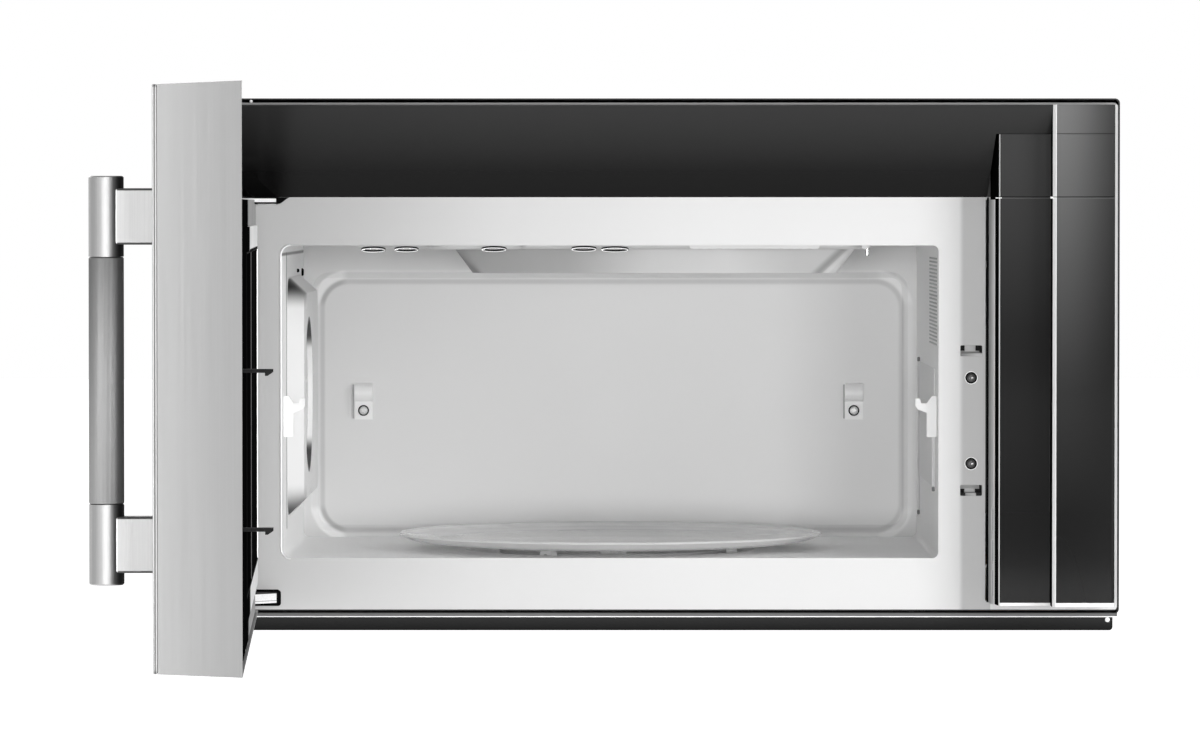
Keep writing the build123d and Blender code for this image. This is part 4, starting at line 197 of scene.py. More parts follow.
class Finish(Weave):
    """A material: its Principled shader and the nodes that vary it."""

    def __init__(self, name, colour, rough, metal=0.0, **plain):
        self.material = bpy.data.materials.new(name)
        self.material.use_nodes = True
        super().__init__(self.material.node_tree)
        self.shader = self.tree.nodes["Principled BSDF"]
        self.material.diffuse_color = (*colour, 1)
        base = {"Base Color": (*colour, 1), "Roughness": rough, "Metallic": metal}
        for socket, value in (base | plain).items():
            self.shader.inputs[socket].default_value = value

    def feed(self, **sockets):
        for key, value in sockets.items():
            self.tree.links.new(value.socket, self.shader.inputs[key.replace("_", " ")])

    def surface(self, colour, rough, height, depth, strength):
        """Feeds the colour, the roughness and a bump, and gives the material."""
        self.feed(Base_Color=colour, Roughness=rough, Normal=self.bump(height, depth, strength))
        return self.material

    def spot(self):
        """Place in the row frame, in metres, whatever body the piece rides on."""
        return self.node("ShaderNodeTexCoord", output="Object")

    def place(self):
        return self.axes(self.spot())

    def stretched(self, *scale):
        return self.node("ShaderNodeMapping", {}, {"Vector": self.spot(), "Scale": scale})

    def noise(self, scale, detail=2.0, vector=None):
        inputs = {"Vector": vector or self.spot(), "Scale": scale, "Detail": detail, "Roughness": 0.5}
        return self.node("ShaderNodeTexNoise", {}, inputs)

    def cells(self, scale):
        return self.node("ShaderNodeTexVoronoi", {}, {"Vector": self.spot(), "Scale": scale}, 1)

    def bump(self, height, depth, strength):
        return self.node("ShaderNodeBump", {}, {"Height": height, "Distance": depth, "Strength": strength})


def grey(level):
    """A neutral colour that renders as the given 0 to 255 screen level."""
    share = level / 255
    linear = share / 12.92 if share < 0.04045 else ((share + 0.055) / 1.055) ** 2.4
    return (linear, linear, linear)


def tone(level):
    """A neutral colour with its alpha, for a colour socket."""
    return (*grey(level), 1)


def nearly(colour, spread):
    """The two ends of a slight unevenness about a colour."""
    return tuple(c * (1 - spread) for c in colour), tuple(min(1, c * (1 + spread)) for c in colour)


# ------------------------------------------------------------------ finishes


def brushed(name, level, rough, along, spread=0.05, fine=900.0, metal=1.0, shade_fade=None):
    """Brushed steel with its grain along one axis, and a painted shade that may change its tone from left to
    right.
    """
    colour = grey(level)
    low, high = nearly(colour, spread)
    finish = Finish(name, colour, rough, metal)
    grain = finish.noise(1.0, 3.0, finish.stretched(*[6.0 if axis == along else fine for axis in "xyz"]))
    cloud = finish.noise(5.0, 2.0)
    shade = finish.grade(grain * 0.6 + cloud * 0.4, (0.3, low), (0.7, high))
    # painted shade: the tone changes across x from the first level to the last
    if shade_fade:
        start, end, first, last = shade_fade
        faded_shade = finish.blend(finish.place()[0].ramp(start, end), tone(first), tone(last))
        shade = finish.blend(grain * 0.1 + 0.85, shade, faded_shade)
    return finish.surface(shade, grain * 0.16 + (rough - 0.08), grain, 0.00002, 0.5)


def painted(name, colour, rough, texture=0.00003, metal=0.0, spread=0.03, **plain):
    """Powder coat or enamel: a fine orange peel and a little unevenness."""
    finish = Finish(name, colour, rough, metal, **plain)
    low, high = nearly(colour, spread)
    peel = finish.noise(900.0, 2.0)
    cloud = finish.noise(3.0, 3.0)
    return finish.surface(
        finish.grade(cloud, (0.3, low), (0.7, high)),
        cloud * 0.08 + (rough - 0.04), peel, texture, 0.4,
    )


def plate_enamel():
    """The front plate's enamel, with painted shade: darker to the left and in a shadow beside the column, black
    under the fascia and darker along its top edge, with a dark joint along its bottom edge.
    """
    finish = Finish("plate_enamel", grey(232), 0.5, **{"Specular IOR Level": 0.3})
    x, _, z = finish.place()
    cloud = finish.noise(3.0, 3.0)
    peel = finish.noise(900.0, 2.0)
    enamel = finish.grade(cloud, (0.3, grey(220)), (0.7, grey(224)))
    # painted shadow of the column on the plate beside it
    column_shadow = x.ramp(0.2462, 0.2512) * (1 - x.ramp(0.2725, 0.2735))
    shaded = finish.blend(column_shadow * 0.85, enamel, tone(178))
    # painted shade, darker to the left where the open door keeps light off the plate
    left = (1 - x.ramp(-0.33, 0.05)) * (0.4 + z.ramp(0.1, 0.33) * 0.3)
    shaded = finish.blend(left, shaded, tone(190))
    # painted black: shade under the fascia, and the dark joint along the bottom edge
    shade_and_joint = (z.ramp(0.3585, 0.3587) * (1 - x.ramp(0.370, 0.371))).most(1 - z.ramp(0.0172, 0.0176))
    shaded = finish.blend(shade_and_joint, shaded, tone(6))
    # the top edge is painted a darker grey as painted shade
    return finish.surface(
        finish.blend(z.ramp(0.4346, 0.4350), shaded, tone(150)),
        cloud * 0.08 + 0.46, peel, 0.00003, 0.4,
    )


def fascia_gloss():
    """Black gloss with a painted reflection that lightens upwards."""
    finish = Finish("fascia_gloss", grey(20), 0.12, **{"Specular IOR Level": 0.12})
    z = finish.place()[2]
    dust = finish.noise(1600.0, 1.0)
    ripple = finish.noise(14.0, 1.0)
    # painted reflection: the black lightens towards the top
    return finish.surface(
        finish.grade(
            z.ramp(0.350, 0.442) + dust * 0.02, (0.0, grey(3)), (0.25, grey(12)), (0.55, grey(36)), (1.0, grey(52))
        ),
        dust * 0.05 + 0.1, ripple, 0.0002, 0.12,
    )


def cover_gloss(name, front, edge, low, stops, right=None):
    """Black gloss of a column cover, with a painted reflection that lightens upwards, painted highlights on its
    bevels, its seam with a painted highlight below it, and its matt side wall.
    """
    finish = Finish(name, grey(30), 0.1, **{"Specular IOR Level": 0.14})
    x, y, z = finish.place()
    dust = finish.noise(1600.0, 1.0)
    ripple = finish.noise(14.0, 1.0)
    # painted reflection: the stops lighten the cover upwards
    shade = finish.grade(z * 2.0 + dust * 0.004, *[(height * 2, grey(level)) for height, level in stops])
    # painted reflection, darker to the right
    if right:
        shade = finish.blend(x.ramp(*right) * 0.8, shade, tone(22))
    on_front = 1 - y.ramp(front + 0.0022, front + 0.003)
    seam = z.within(0.3583, 0.3589, 0.0002)
    # a painted highlight along the seam's lower edge
    seam_lower_highlight = z.within(0.3574, 0.3580, 0.0002)
    brow = z.within(0.4101, 0.4106, 0.0002)
    shade = finish.blend(seam_lower_highlight * 0.45, shade, tone(120))
    shade = finish.blend(seam.most(brow * 0.6), shade, tone(2))
    # painted highlights on the left bevel and the bottom edge
    bevel = (1 - x.ramp(edge - 0.0001, edge)).most(1 - z.ramp(low - 0.0001, low)) * on_front
    bevel = bevel * x.ramp(edge - 0.0031, edge - 0.0029)
    bevel = bevel * (1 - seam)
    finish.feed(
        Base_Color=finish.blend(bevel, shade, tone(246)),
        Roughness=dust * 0.02 + 0.04,
        Normal=finish.bump(ripple, 0.0001, 0.05),
    )
    wall = {"Base Color": tone(12), "Roughness": 0.9, "Specular IOR Level": 0.0}
    matt = finish.node("ShaderNodeBsdfPrincipled", {}, wall)
    gloss = Signal(finish, finish.shader.outputs[0])
    beside = 1 - y.ramp(front + 0.003, front + 0.0034)
    mixed = finish.node("ShaderNodeMixShader", {}, {0: beside, 1: matt, 2: gloss})
    finish.tree.links.new(mixed.socket, finish.tree.nodes["Material Output"].inputs["Surface"])
    return finish.material


def lip_steel():
    """The front lip: a dark joint on top, then grey, then a painted highlight along its lower edge."""
    finish = Finish("lip_steel", grey(120), 0.55, 0.3)
    z = finish.place()[2]
    grain = finish.noise(1.0, 3.0, finish.stretched(6, 900, 900))
    joint = z.ramp(0.0142, 0.0145)
    # painted highlight along the lower edge
    edge = 1 - z.ramp(0.0118, 0.0121)
    shade = finish.grade(grain, (0.3, grey(86)), (0.7, grey(94)))
    shade = finish.blend(edge, shade, tone(236))
    return finish.surface(finish.blend(joint, shade, tone(6)), grain * 0.16 + 0.47, grain, 0.00002, 0.5)


def base_enamel():
    """Black enamel of the base pan, with painted light: lighter at the top of its front, darker towards the
    bottom.
    """
    finish = Finish("base_black", grey(30), 0.6, **{"Specular IOR Level": 0.1})
    z = finish.place()[2]
    peel = finish.noise(900.0, 2.0)
    cloud = finish.noise(5.0, 2.0)
    # painted light, lighter towards the top of the front
    return finish.surface(
        finish.grade(z * 60 + cloud * 0.06, (0.0, grey(5)), (0.85, grey(46))),
        cloud * 0.1 + 0.55, peel, 0.00005, 0.4,
    )


def cavity_enamel():
    """Light grey enamel of the cavity, with a painted highlight on the bright frame step, its seam on the left
    wall, and painted shade in the crease along that wall's top.
    """
    finish = Finish("cavity_enamel", grey(252), 0.5, **{"Specular IOR Level": 0.25})
    x, y, z = finish.place()
    cloud = finish.noise(3.0, 3.0)
    peel = finish.noise(900.0, 2.0)
    enamel = finish.grade(cloud, (0.3, grey(250)), (0.7, grey(254)))
    left = 1 - x.ramp(-0.3118, -0.3112)
    # painted highlight on the front of the left wall
    step = left * (1 - y.ramp(-0.336, -0.3355)) * z.within(0.0745, 0.3145, 0.0008)
    seam = left * y.within(-0.3345, -0.322, 0.0008) * z.within(0.08, 0.312, 0.001)
    # painted shade in the crease along the left wall's top
    crease = left * z.within(0.3098, 0.3122, 0.0008)
    shade = finish.blend(step, enamel, tone(255))
    shade = finish.blend(seam * 0.7, shade, tone(90))
    shade = finish.blend(crease * 0.8, shade, tone(90))
    return finish.surface(shade, cloud * 0.08 + 0.46, peel, 0.00002, 0.4)


def back_enamel():
    """The cavity's back, with painted highlights along its pressed rim, strongest at its corners, painted shade in
    the groove inside the rim, and painted shade towards its top and bottom.
    """
    finish = Finish("back_enamel", grey(232), 0.5, **{"Specular IOR Level": 0.25})
    x, _, z = finish.place()
    cloud = finish.noise(3.0, 3.0)
    peel = finish.noise(900.0, 2.0)
    half_wide, half_tall, corner = 0.2630, 0.1165, 0.030
    over_x = ((x + 0.0400).size() - (half_wide - corner)).most(0.0)
    over_z = ((z - 0.1741).size() - (half_tall - corner)).most(0.0)
    reach = (over_x * over_x + over_z * over_z).root() - corner
    # painted highlight along the rim, and painted shade in the groove inside it
    rim = reach.within(-0.0035, 0.0035, 0.0015)
    groove = reach.within(-0.0085, -0.0045, 0.0015)
    bend = over_x.least(over_z).ramp(0.0, 0.008)
    left = 1 - x.ramp(-0.2, 0.0)
    enamel = finish.grade(cloud, (0.3, grey(230)), (0.7, grey(235)))
    # painted shade towards the top and bottom
    ends = z.ramp(0.275, 0.32).most(1 - z.ramp(0.03, 0.09))
    shade = finish.blend(ends * 0.7, enamel, tone(205))
    shade = finish.blend(groove * (0.35 + bend * left * 0.3), shade, tone(165))
    shade = finish.blend(rim * (0.25 + bend * (0.35 + left * 0.4)), shade, tone(255))
    return finish.surface(shade, cloud * 0.08 + 0.46, peel, 0.00002, 0.4)


def duct_enamel():
    """Enamel of the ceiling duct, with a wide painted sheen across its front and painted shade on its sloping
    flanks.
    """
    finish = Finish("duct_enamel", grey(200), 0.4, **{"Specular IOR Level": 0.3})
    x, _, z = finish.place()
    cloud = finish.noise(4.0, 2.0)
    peel = finish.noise(900.0, 2.0)
    # painted sheen across the front
    face = finish.grade(
        x * 2.5 + 0.5 + cloud * 0.03,
        (0.10, grey(156)), (0.32, grey(174)), (0.50, grey(216)), (0.66, grey(224)), (0.80, grey(206)),
    )
    reach = (x + 0.011).size() - (z - 0.2975) * 1.05 - 0.149
    # painted shade on the sloping flanks
    flank = reach.within(-0.007, 0.001, 0.004)
    shade = finish.blend(reach.ramp(0.0, 0.002), face, tone(228))
    return finish.surface(
        finish.blend(flank * 0.6, shade, tone(112)),
        cloud * 0.1 + 0.35, peel, 0.00002, 0.4,
    )


def fan_cover_enamel():
    """Enamel of the fan cover: painted shade on its front slope towards both ends, a painted highlight on its
    grille's rim, and painted shade in the dish towards its upper and lower tips.
    """
    finish = Finish("fan_cover_enamel", grey(232), 0.4, **{"Specular IOR Level": 0.3})
    x, y, z = finish.place()
    cloud = finish.noise(4.0, 2.0)
    peel = finish.noise(900.0, 2.0)
    enamel = finish.grade(cloud, (0.3, grey(240)), (0.7, grey(246)))
    slope = (1 - y.ramp(-0.290, -0.235)) * x.ramp(-0.3132, -0.3126)
    ends = (1 - z.ramp(0.090, 0.118)).most(z.ramp(0.264, 0.284) * (1 - z.ramp(0.291, 0.294)))
    dish = ((y + 0.217) * (y + 0.217) + (z - 0.19) * (z - 0.19)).root()
    rim = dish.within(0.0600, 0.0665, 0.0008)
    bowl = dish.within(0.0400, 0.0600, 0.002)
    tips = (z - 0.19).size().ramp(0.036, 0.050)
    # painted shade on the slope, a painted highlight on the rim and painted shade at the dish's tips
    shade = finish.blend(slope * ends, enamel, tone(34))
    shade = finish.blend(rim, shade, tone(255))
    shade = finish.blend(bowl.most(rim) * tips, shade, tone(84))
    return finish.surface(shade, cloud * 0.1 + 0.4, peel, 0.00002, 0.4)


def door_lining(name, light, dark, bottom, top, far, edge=None, rough=0.6):
    """The door's inner side: light near the hinge, black beyond a line, as the photograph shows it."""
    finish = Finish(name, grey(light), rough, **{"Specular IOR Level": 0.0})
    _, y, z = finish.place()
    sand = finish.noise(2500.0, 2.0)
    cloud = finish.noise(8.0, 2.0)
    beyond = 1 - y.ramp(far - 0.004, far + 0.004)
    inside = z.within(bottom, top, 0.0005)
    shade = finish.grade(cloud, (0.3, grey(light - 6)), (0.7, grey(light + 6)))
    shade = finish.blend(beyond.most(inside), shade, tone(dark))
    line = y.within(far - 0.024, far, 0.006)
    shade = finish.blend(line * 0.8, shade, tone(150))
    if edge:
        shade = finish.blend(z.ramp(edge, edge + 0.0002), shade, tone(150))
    return finish.surface(shade, sand * 0.12 + (rough - 0.06), sand, 0.00004, 0.5)


def skin_steel():
    """The door's outer sheet: its outer face painted darker than its near edge as painted shade, and on its near
    edge a painted highlight along the fold and a dark joint.
    """
    finish = Finish("door_steel", grey(206), 0.5, 0.4)
    x, y, _ = finish.place()
    grain = finish.noise(1.0, 3.0, finish.stretched(900, 900, 6))
    cloud = finish.noise(5.0, 2.0)
    end = 1 - y.ramp(-1.1735, -1.1730)
    fold = end * (1 - x.ramp(-0.3646, -0.3644))
    joint = end * x.within(-0.3643, -0.3631, 0.0002)
    shade = finish.grade(grain * 0.6 + cloud * 0.4, (0.3, grey(190)), (0.7, grey(198)))
    # painted shade: the outer face is darker than the near edge
    shade = finish.blend(end, tone(140), shade)
    # painted highlight along the fold
    shade = finish.blend(fold, shade, tone(208))
    return finish.surface(
        finish.blend(joint * 0.85, shade, tone(60)),
        grain * 0.16 + 0.42, grain, 0.00002, 0.5,
    )


def bracket_steel():
    """Brushed brackets of the handle, with painted shade along their upper and lower edges and a painted highlight
    on their left edge.
    """
    finish = Finish("bracket_steel", grey(196), 0.5, 0.4)
    x, _, z = finish.place()
    grain = finish.noise(1.0, 3.0, finish.stretched(900, 900, 6))
    cloud = finish.noise(5.0, 2.0)
    shade = finish.grade(grain * 0.6 + cloud * 0.4, (0.3, grey(190)), (0.7, grey(208)))
    for low, high in islands("handle_brackets"):
        edges = (z - (low.z + high.z) / 2000).size()
        half = (high.z - low.z) / 2000
        # painted shade along the upper and lower edges
        rims = edges.within(half - 0.0016, half + 0.001, 0.0003)
        shade = finish.blend(rims * 0.9, shade, tone(60))
    # painted highlight on the left edge
    return finish.surface(
        finish.blend(1 - x.ramp(-0.3990, -0.3984), shade, tone(250)),
        grain * 0.16 + 0.42, grain, 0.00002, 0.5,
    )


def latch_plastic():
    """The latch board, painted black as shade inside the two latch pockets, with its ledges there light and
    shading from grey on the left to light on the right.
    """
    finish = Finish("latch_plastic", grey(24), 0.6, **{"Specular IOR Level": 0.2})
    x, _, z = finish.place()
    sand = finish.noise(2500.0, 2.0)
    cloud = finish.noise(8.0, 2.0)
    plastic = finish.grade(cloud, (0.3, grey(20)), (0.7, grey(28)))
    upper = z.within(0.2240, 0.2297, 0.0003) * (1 - x.ramp(0.2660, 0.2664))
    lower = z.within(0.1095, 0.1146, 0.0003) * x.within(0.2525, 0.2612, 0.0004)
    # painted shade across the ledges, darker to the left
    shaded_ledge = finish.grade(x * 60 - 14.75, (0.0, grey(120)), (1.0, grey(205)))
    return finish.surface(
        finish.blend(upper.most(lower), plastic, shaded_ledge),
        sand * 0.12 + 0.54, sand, 0.00005, 0.5,
    )


def arm_steel():
    """The hinge arms, with a painted shadow where each goes under its slot's upper edge and a fainter painted
    shade line below it.
    """
    finish = Finish("arm_steel", grey(244), 0.5, 0.3)
    z = finish.place()[2]
    grain = finish.noise(1.0, 3.0, finish.stretched(6, 900, 900))
    shade = finish.grade(grain, (0.3, grey(236)), (0.7, grey(252)))
    # painted shadow under the slot's upper edge, and a painted shade line below it
    top = z.within(0.0308, 0.0345, 0.0002)
    low = z.within(0.0246, 0.0252, 0.0002)
    shade = finish.blend(low * 0.6, shade, tone(90))
    return finish.surface(finish.blend(top, shade, tone(6)), grain * 0.16 + 0.42, grain, 0.00002, 0.5)


def bar_steel():
    """The handle's brushed bar, with painted shade on the side towards the door."""
    finish = Finish("handle_steel", grey(190), 0.5, 1.0)
    x = finish.place()[0]
    grain = finish.noise(1.0, 3.0, finish.stretched(900, 900, 6))
    cloud = finish.noise(5.0, 2.0)
    shade = finish.grade(grain * 0.6 + cloud * 0.4, (0.3, grey(172)), (0.7, grey(194)))
    # painted shade on the side towards the door
    behind = x.ramp(-0.4045, -0.3965)
    return finish.surface(
        finish.blend(behind * 0.92, shade, tone(40)),
        grain * 0.16 + 0.42, grain, 0.00002, 0.5,
    )


def black_glass(name, level=8, rough=0.04):
    """Painted glass behind which nothing shows."""
    finish = Finish(name, grey(level), rough, **{"Specular IOR Level": 0.5})
    dust = finish.noise(1400.0, 1.0)
    smear = finish.noise(9.0, 3.0)
    finish.feed(
        Base_Color=finish.grade(dust, (0.4, grey(level)), (0.8, grey(level + 3))),
        Roughness=smear * 0.06 + rough,
    )
    return finish.material


def moulded(name, level, rough=0.55, grain=0.00005, **plain):
    """Matt moulded plastic."""
    finish = Finish(name, grey(level), rough, **plain)
    sand = finish.noise(2500.0, 2.0)
    cloud = finish.noise(8.0, 2.0)
    return finish.surface(
        finish.grade(cloud, (0.3, grey(max(0, level - 4))), (0.7, grey(min(255, level + 4)))),
        sand * 0.12 + (rough - 0.06), sand, grain, 0.5,
    )


def galvanised(name="galvanised", level=172):
    """Zinc coated sheet with its crystal pattern."""
    finish = Finish(name, grey(level), 0.42, 0.85)
    crystal = finish.axes(finish.cells(70.0))[0]
    fleck = finish.noise(260.0, 3.0)
    return finish.surface(
        finish.grade(crystal * 0.7 + fleck * 0.4, (0.2, grey(level - 18)), (0.8, grey(level + 16))),
        crystal * 0.2 + 0.32, fleck, 0.00004, 0.4,
    )


def clear(name, level, veil, rough=0.08):
    """Clear glass that shows as a faint pale veil, more at a grazing look."""
    finish = Finish(name, grey(level), rough, **{"Specular IOR Level": 0.6})
    smear = finish.noise(18.0, 3.0)
    graze = finish.node("ShaderNodeLayerWeight", {}, {"Blend": 0.35}, "Facing")
    finish.feed(Alpha=smear * 0.1 + (veil - 0.05) + graze * 0.35, Roughness=smear * 0.06 + rough)
    return finish.material


def screened_glass():
    """Black window glass with its fine dot screen."""
    finish = Finish("screened_glass", grey(10), 0.05)
    _, y, z = finish.place()
    dots = ((y * 2600).sine() * (z * 2600).sine()).ramp(0.55, 0.8)
    pane = z.within(0.098, 0.362, 0.001) * y.within(-0.985, -0.500, 0.001)
    smear = finish.noise(9.0, 3.0)
    finish.feed(
        Base_Color=finish.blend(dots * pane, tone(9), tone(46)),
        Roughness=smear * 0.06 + 0.04,
    )
    return finish.material


def ribbed_lens():
    """Frosted lamp cover with pressed ribs."""
    finish = Finish("lamp_lens", grey(236), 0.35, **{"Transmission Weight": 0.6, "IOR": 1.5})
    x, y, _ = finish.place()
    rib = (x * 1400).sine() * (y * 1400).sine()
    frost = finish.noise(700.0, 2.0)
    return finish.surface(
        finish.grade(rib * 0.5 + 0.5, (0.0, grey(214)), (1.0, grey(246))),
        frost * 0.2 + 0.25, rib, 0.0006, 0.6,
    )


def filter_mesh():
    """Layers of expanded aluminium mesh, the layers beneath painted darker between the strands as painted shade.
    """
    finish = Finish("filter_mesh", grey(180), 0.4, 0.9)
    x, y, _ = finish.place()
    web = (x * 900 + y * 620).sine().size().least((x * 900 - y * 620).sine().size())
    # painted shade: the layers beneath, darker between the strands
    under = (x * 900 + y * 620 + 1.1).sine().size().least((x * 900 - y * 620 + 0.7).sine().size())
    return finish.surface(
        finish.blend(
            web.ramp(0.35, 0.55),
            tone(206),
            finish.grade(under, (0.2, grey(120)), (0.6, grey(30))),
        ),
        web * 0.3 + 0.25, web, 0.0012, 0.8,
    )


def wound_copper():
    finish = Finish("winding", (0.5, 0.2, 0.08), 0.3, 0.6, **{"Coat Weight": 0.6})
    z = finish.place()[2]
    turn = (z * 5200).sine()
    cloud = finish.noise(40.0, 2.0)
    finish.feed(
        Base_Color=finish.grade(
            turn * 0.3 + cloud * 0.6 + 0.2, (0.2, (0.2, 0.07, 0.03)), (0.8, (0.55, 0.22, 0.08))
        ),
        Normal=finish.bump(turn, 0.0004, 0.7),
    )
    return finish.material


def circuit_board():
    finish = Finish("circuit_board", (0.015, 0.09, 0.03), 0.35)
    block = finish.axes(finish.cells(90.0))[1]
    fleck = finish.noise(300.0, 2.0)
    finish.feed(
        Base_Color=finish.grade(block * 0.7 + fleck * 0.3, (0.1, (0.01, 0.06, 0.02)), (0.8, (0.03, 0.15, 0.05))),
        Roughness=fleck * 0.3 + 0.2,
    )
    return finish.material


LOW_FRONT = -0.450             # front of the lower column cover
HIGH_FRONT = -0.468            # front of the higher one

materials = {
    "case": painted("case_black", grey(20), 0.5, texture=0.00006, **{"Specular IOR Level": 0.3}),
    "pan": base_enamel(),
    "lip": lip_steel(),
    "plate": plate_enamel(),
    "cavity": cavity_enamel(),
    "back": back_enamel(),
    "fan_cover": fan_cover_enamel(),
    "duct": duct_enamel(),
    "fascia": fascia_gloss(),
    # the stops paint each cover's reflection, lighter towards the top
    "low_cover": cover_gloss(
        "low_cover_gloss", LOW_FRONT, 0.2784, 0.0254,
        ((0.0, 5), (0.1, 12), (0.25, 35), (0.33, 53), (0.41, 64)),
    ),
    "high_cover": cover_gloss(
        "high_cover_gloss", HIGH_FRONT, 0.3234, 0.0264,
        ((0.0, 3), (0.1, 14), (0.2, 46), (0.3, 82), (0.43, 116)), right=(0.324, 0.380),
    ),
    "black_plastic": moulded("black_plastic", 24, 0.6, **{"Specular IOR Level": 0.2}),
    "choke": door_lining("choke_plastic", 240, 10, 0.076, 0.3185, -0.846),
    "zinc": galvanised(),
    "frame_grey": door_lining("door_enamel", 172, 10, 0.9, 1.0, -0.80, 0.3560),
    "skin": skin_steel(),
    # painted shade, darker across the door's near edge towards its inner side
    "side": brushed("door_side_steel", 168, 0.56, "z", spread=0.03, metal=0.3, shade_fade=(-0.39, -0.3, 172, 144)),
    "steel": brushed("plain_steel", 205, 0.3, "x"),
    "arm": arm_steel(),
    "bar": bar_steel(),
    "bracket": bracket_steel(),
    "latch": latch_plastic(),
    "grip": brushed("grip_steel", 156, 0.5, "z", spread=0.1, fine=1600.0),
    "chrome": brushed("chrome_wire", 225, 0.12, "x", spread=0.02),
    "tube": painted("heater_sheath", grey(206), 0.5),
    "aluminium": brushed("aluminium", 205, 0.4, "y"),
    "filter": filter_mesh(),
    "white_plastic": moulded("white_plastic", 250, 0.45),
    "grey_plastic": moulded("grey_plastic", 190, 0.5),
    "mica": painted("wave_inlet_cover", grey(238), 0.5, spread=0.02),
    "rubber": moulded("rubber", 26, 0.7),
    "charcoal": moulded("charcoal", 26, 0.9, 0.0006),
    "copper": wound_copper(),
    "board": circuit_board(),
    "clear_glass": clear("tray_glass", 250, 0.42),
    "lens": ribbed_lens(),
    "dark_glass": black_glass("dark_glass"),
    "screened_glass": screened_glass(),
    "inner_glass": door_lining("window_screen", 14, 8, 0.9, 1.0, -0.775, rough=0.8),
    # white for painted highlights on screws, rivets and seams
    "bright": painted("painted_highlight_white", grey(252), 0.4),
    "glint": brushed("glint_steel", 240, 0.38, "z", spread=0.02),
    "pale": painted("pale_inlay", grey(214), 0.5),
    # grey for painted shade in slots, on the latch shelves and beside the back clips
    "grey_shade": painted("grey_shade_paint", grey(172), 0.5),
    # black for painted shade and for gaps
    "shade": moulded("gap_and_shade_black", 5, 0.8, **{"Specular IOR Level": 0.05}),
    "screw": painted("screw_steel", grey(212), 0.4, metal=0.3, spread=0.1),
    "knob": painted("grey_knob", grey(112), 0.5),
    # the plate's screws, painted darker as painted shade
    "shaded_screw": painted("shaded_screw", grey(52), 0.35, metal=0.2, spread=0.15),
    "print": painted("panel_print", grey(205), 0.5),
    "segment": painted("display_segment", grey(120), 0.5),
}

dress = {
    "case": ["case_wrap"],
    "pan": ["base_pan"],
    "lip": ["front_lip"],
    "plate": ["front_plate", "column_trim"],
    "cavity": ["cavity_liner"],
    "back": ["cavity_back"],
    "fan_cover": ["convection_panel"],
    "duct": ["ceiling_duct"],
    "fascia": ["vent_fascia"],
    "low_cover": ["column_cover_low"],
    "high_cover": ["column_cover_high"],
    "black_plastic": ["latch_bar", "door_switches", "blower_wheels"],
    "latch": ["latch_board"],
    "choke": ["choke_cover"],
    "zinc": [
        "rear_panel", "blower_housing", "waveguide", "table_motor", "convection_can", "damper_flap",
    ],
    "frame_grey": ["inner_frame"],
    "skin": ["door_skin"],
    "side": ["door_frame"],
    "arm": ["hinge_arm_upper", "hinge_arm_lower"],
    "steel": [
        "hinge_pins", "hinge_blocks", "latch_spring", "convection_fan", "convection_motor",
        "convection_heater", "blower_motor",
    ],
    "bar": ["handle_bar"],
    "bracket": ["handle_brackets"],
    "grip": ["handle_grip"],
    "tube": ["grill_element"],
    "screw": ["pan_screws"],
    "aluminium": ["magnetron", "capacitor"],
    "filter": ["grease_filters"],
    "white_plastic": ["rack_supports", "tray_coupler", "roller_a", "roller_b", "roller_c"],
    "grey_plastic": ["roller_ring"],
    "rubber": ["cord_grommet"],
    "charcoal": ["charcoal_filter"],
    "copper": ["power_transformer"],
    "board": ["control_board"],
    "clear_glass": ["glass_tray"],
    "lens": ["lamp_lenses", "cavity_lamp"],
    "dark_glass": ["control_glass"],
    "screened_glass": ["outer_window"],
    "inner_glass": ["inner_window"],
}

for finish_name, members in dress.items():
    for member in members:
        mesh = nodes[member].data
        mesh.materials.clear()
        mesh.materials.append(materials[finish_name])

# ------------------------------------------------------------------ meshes


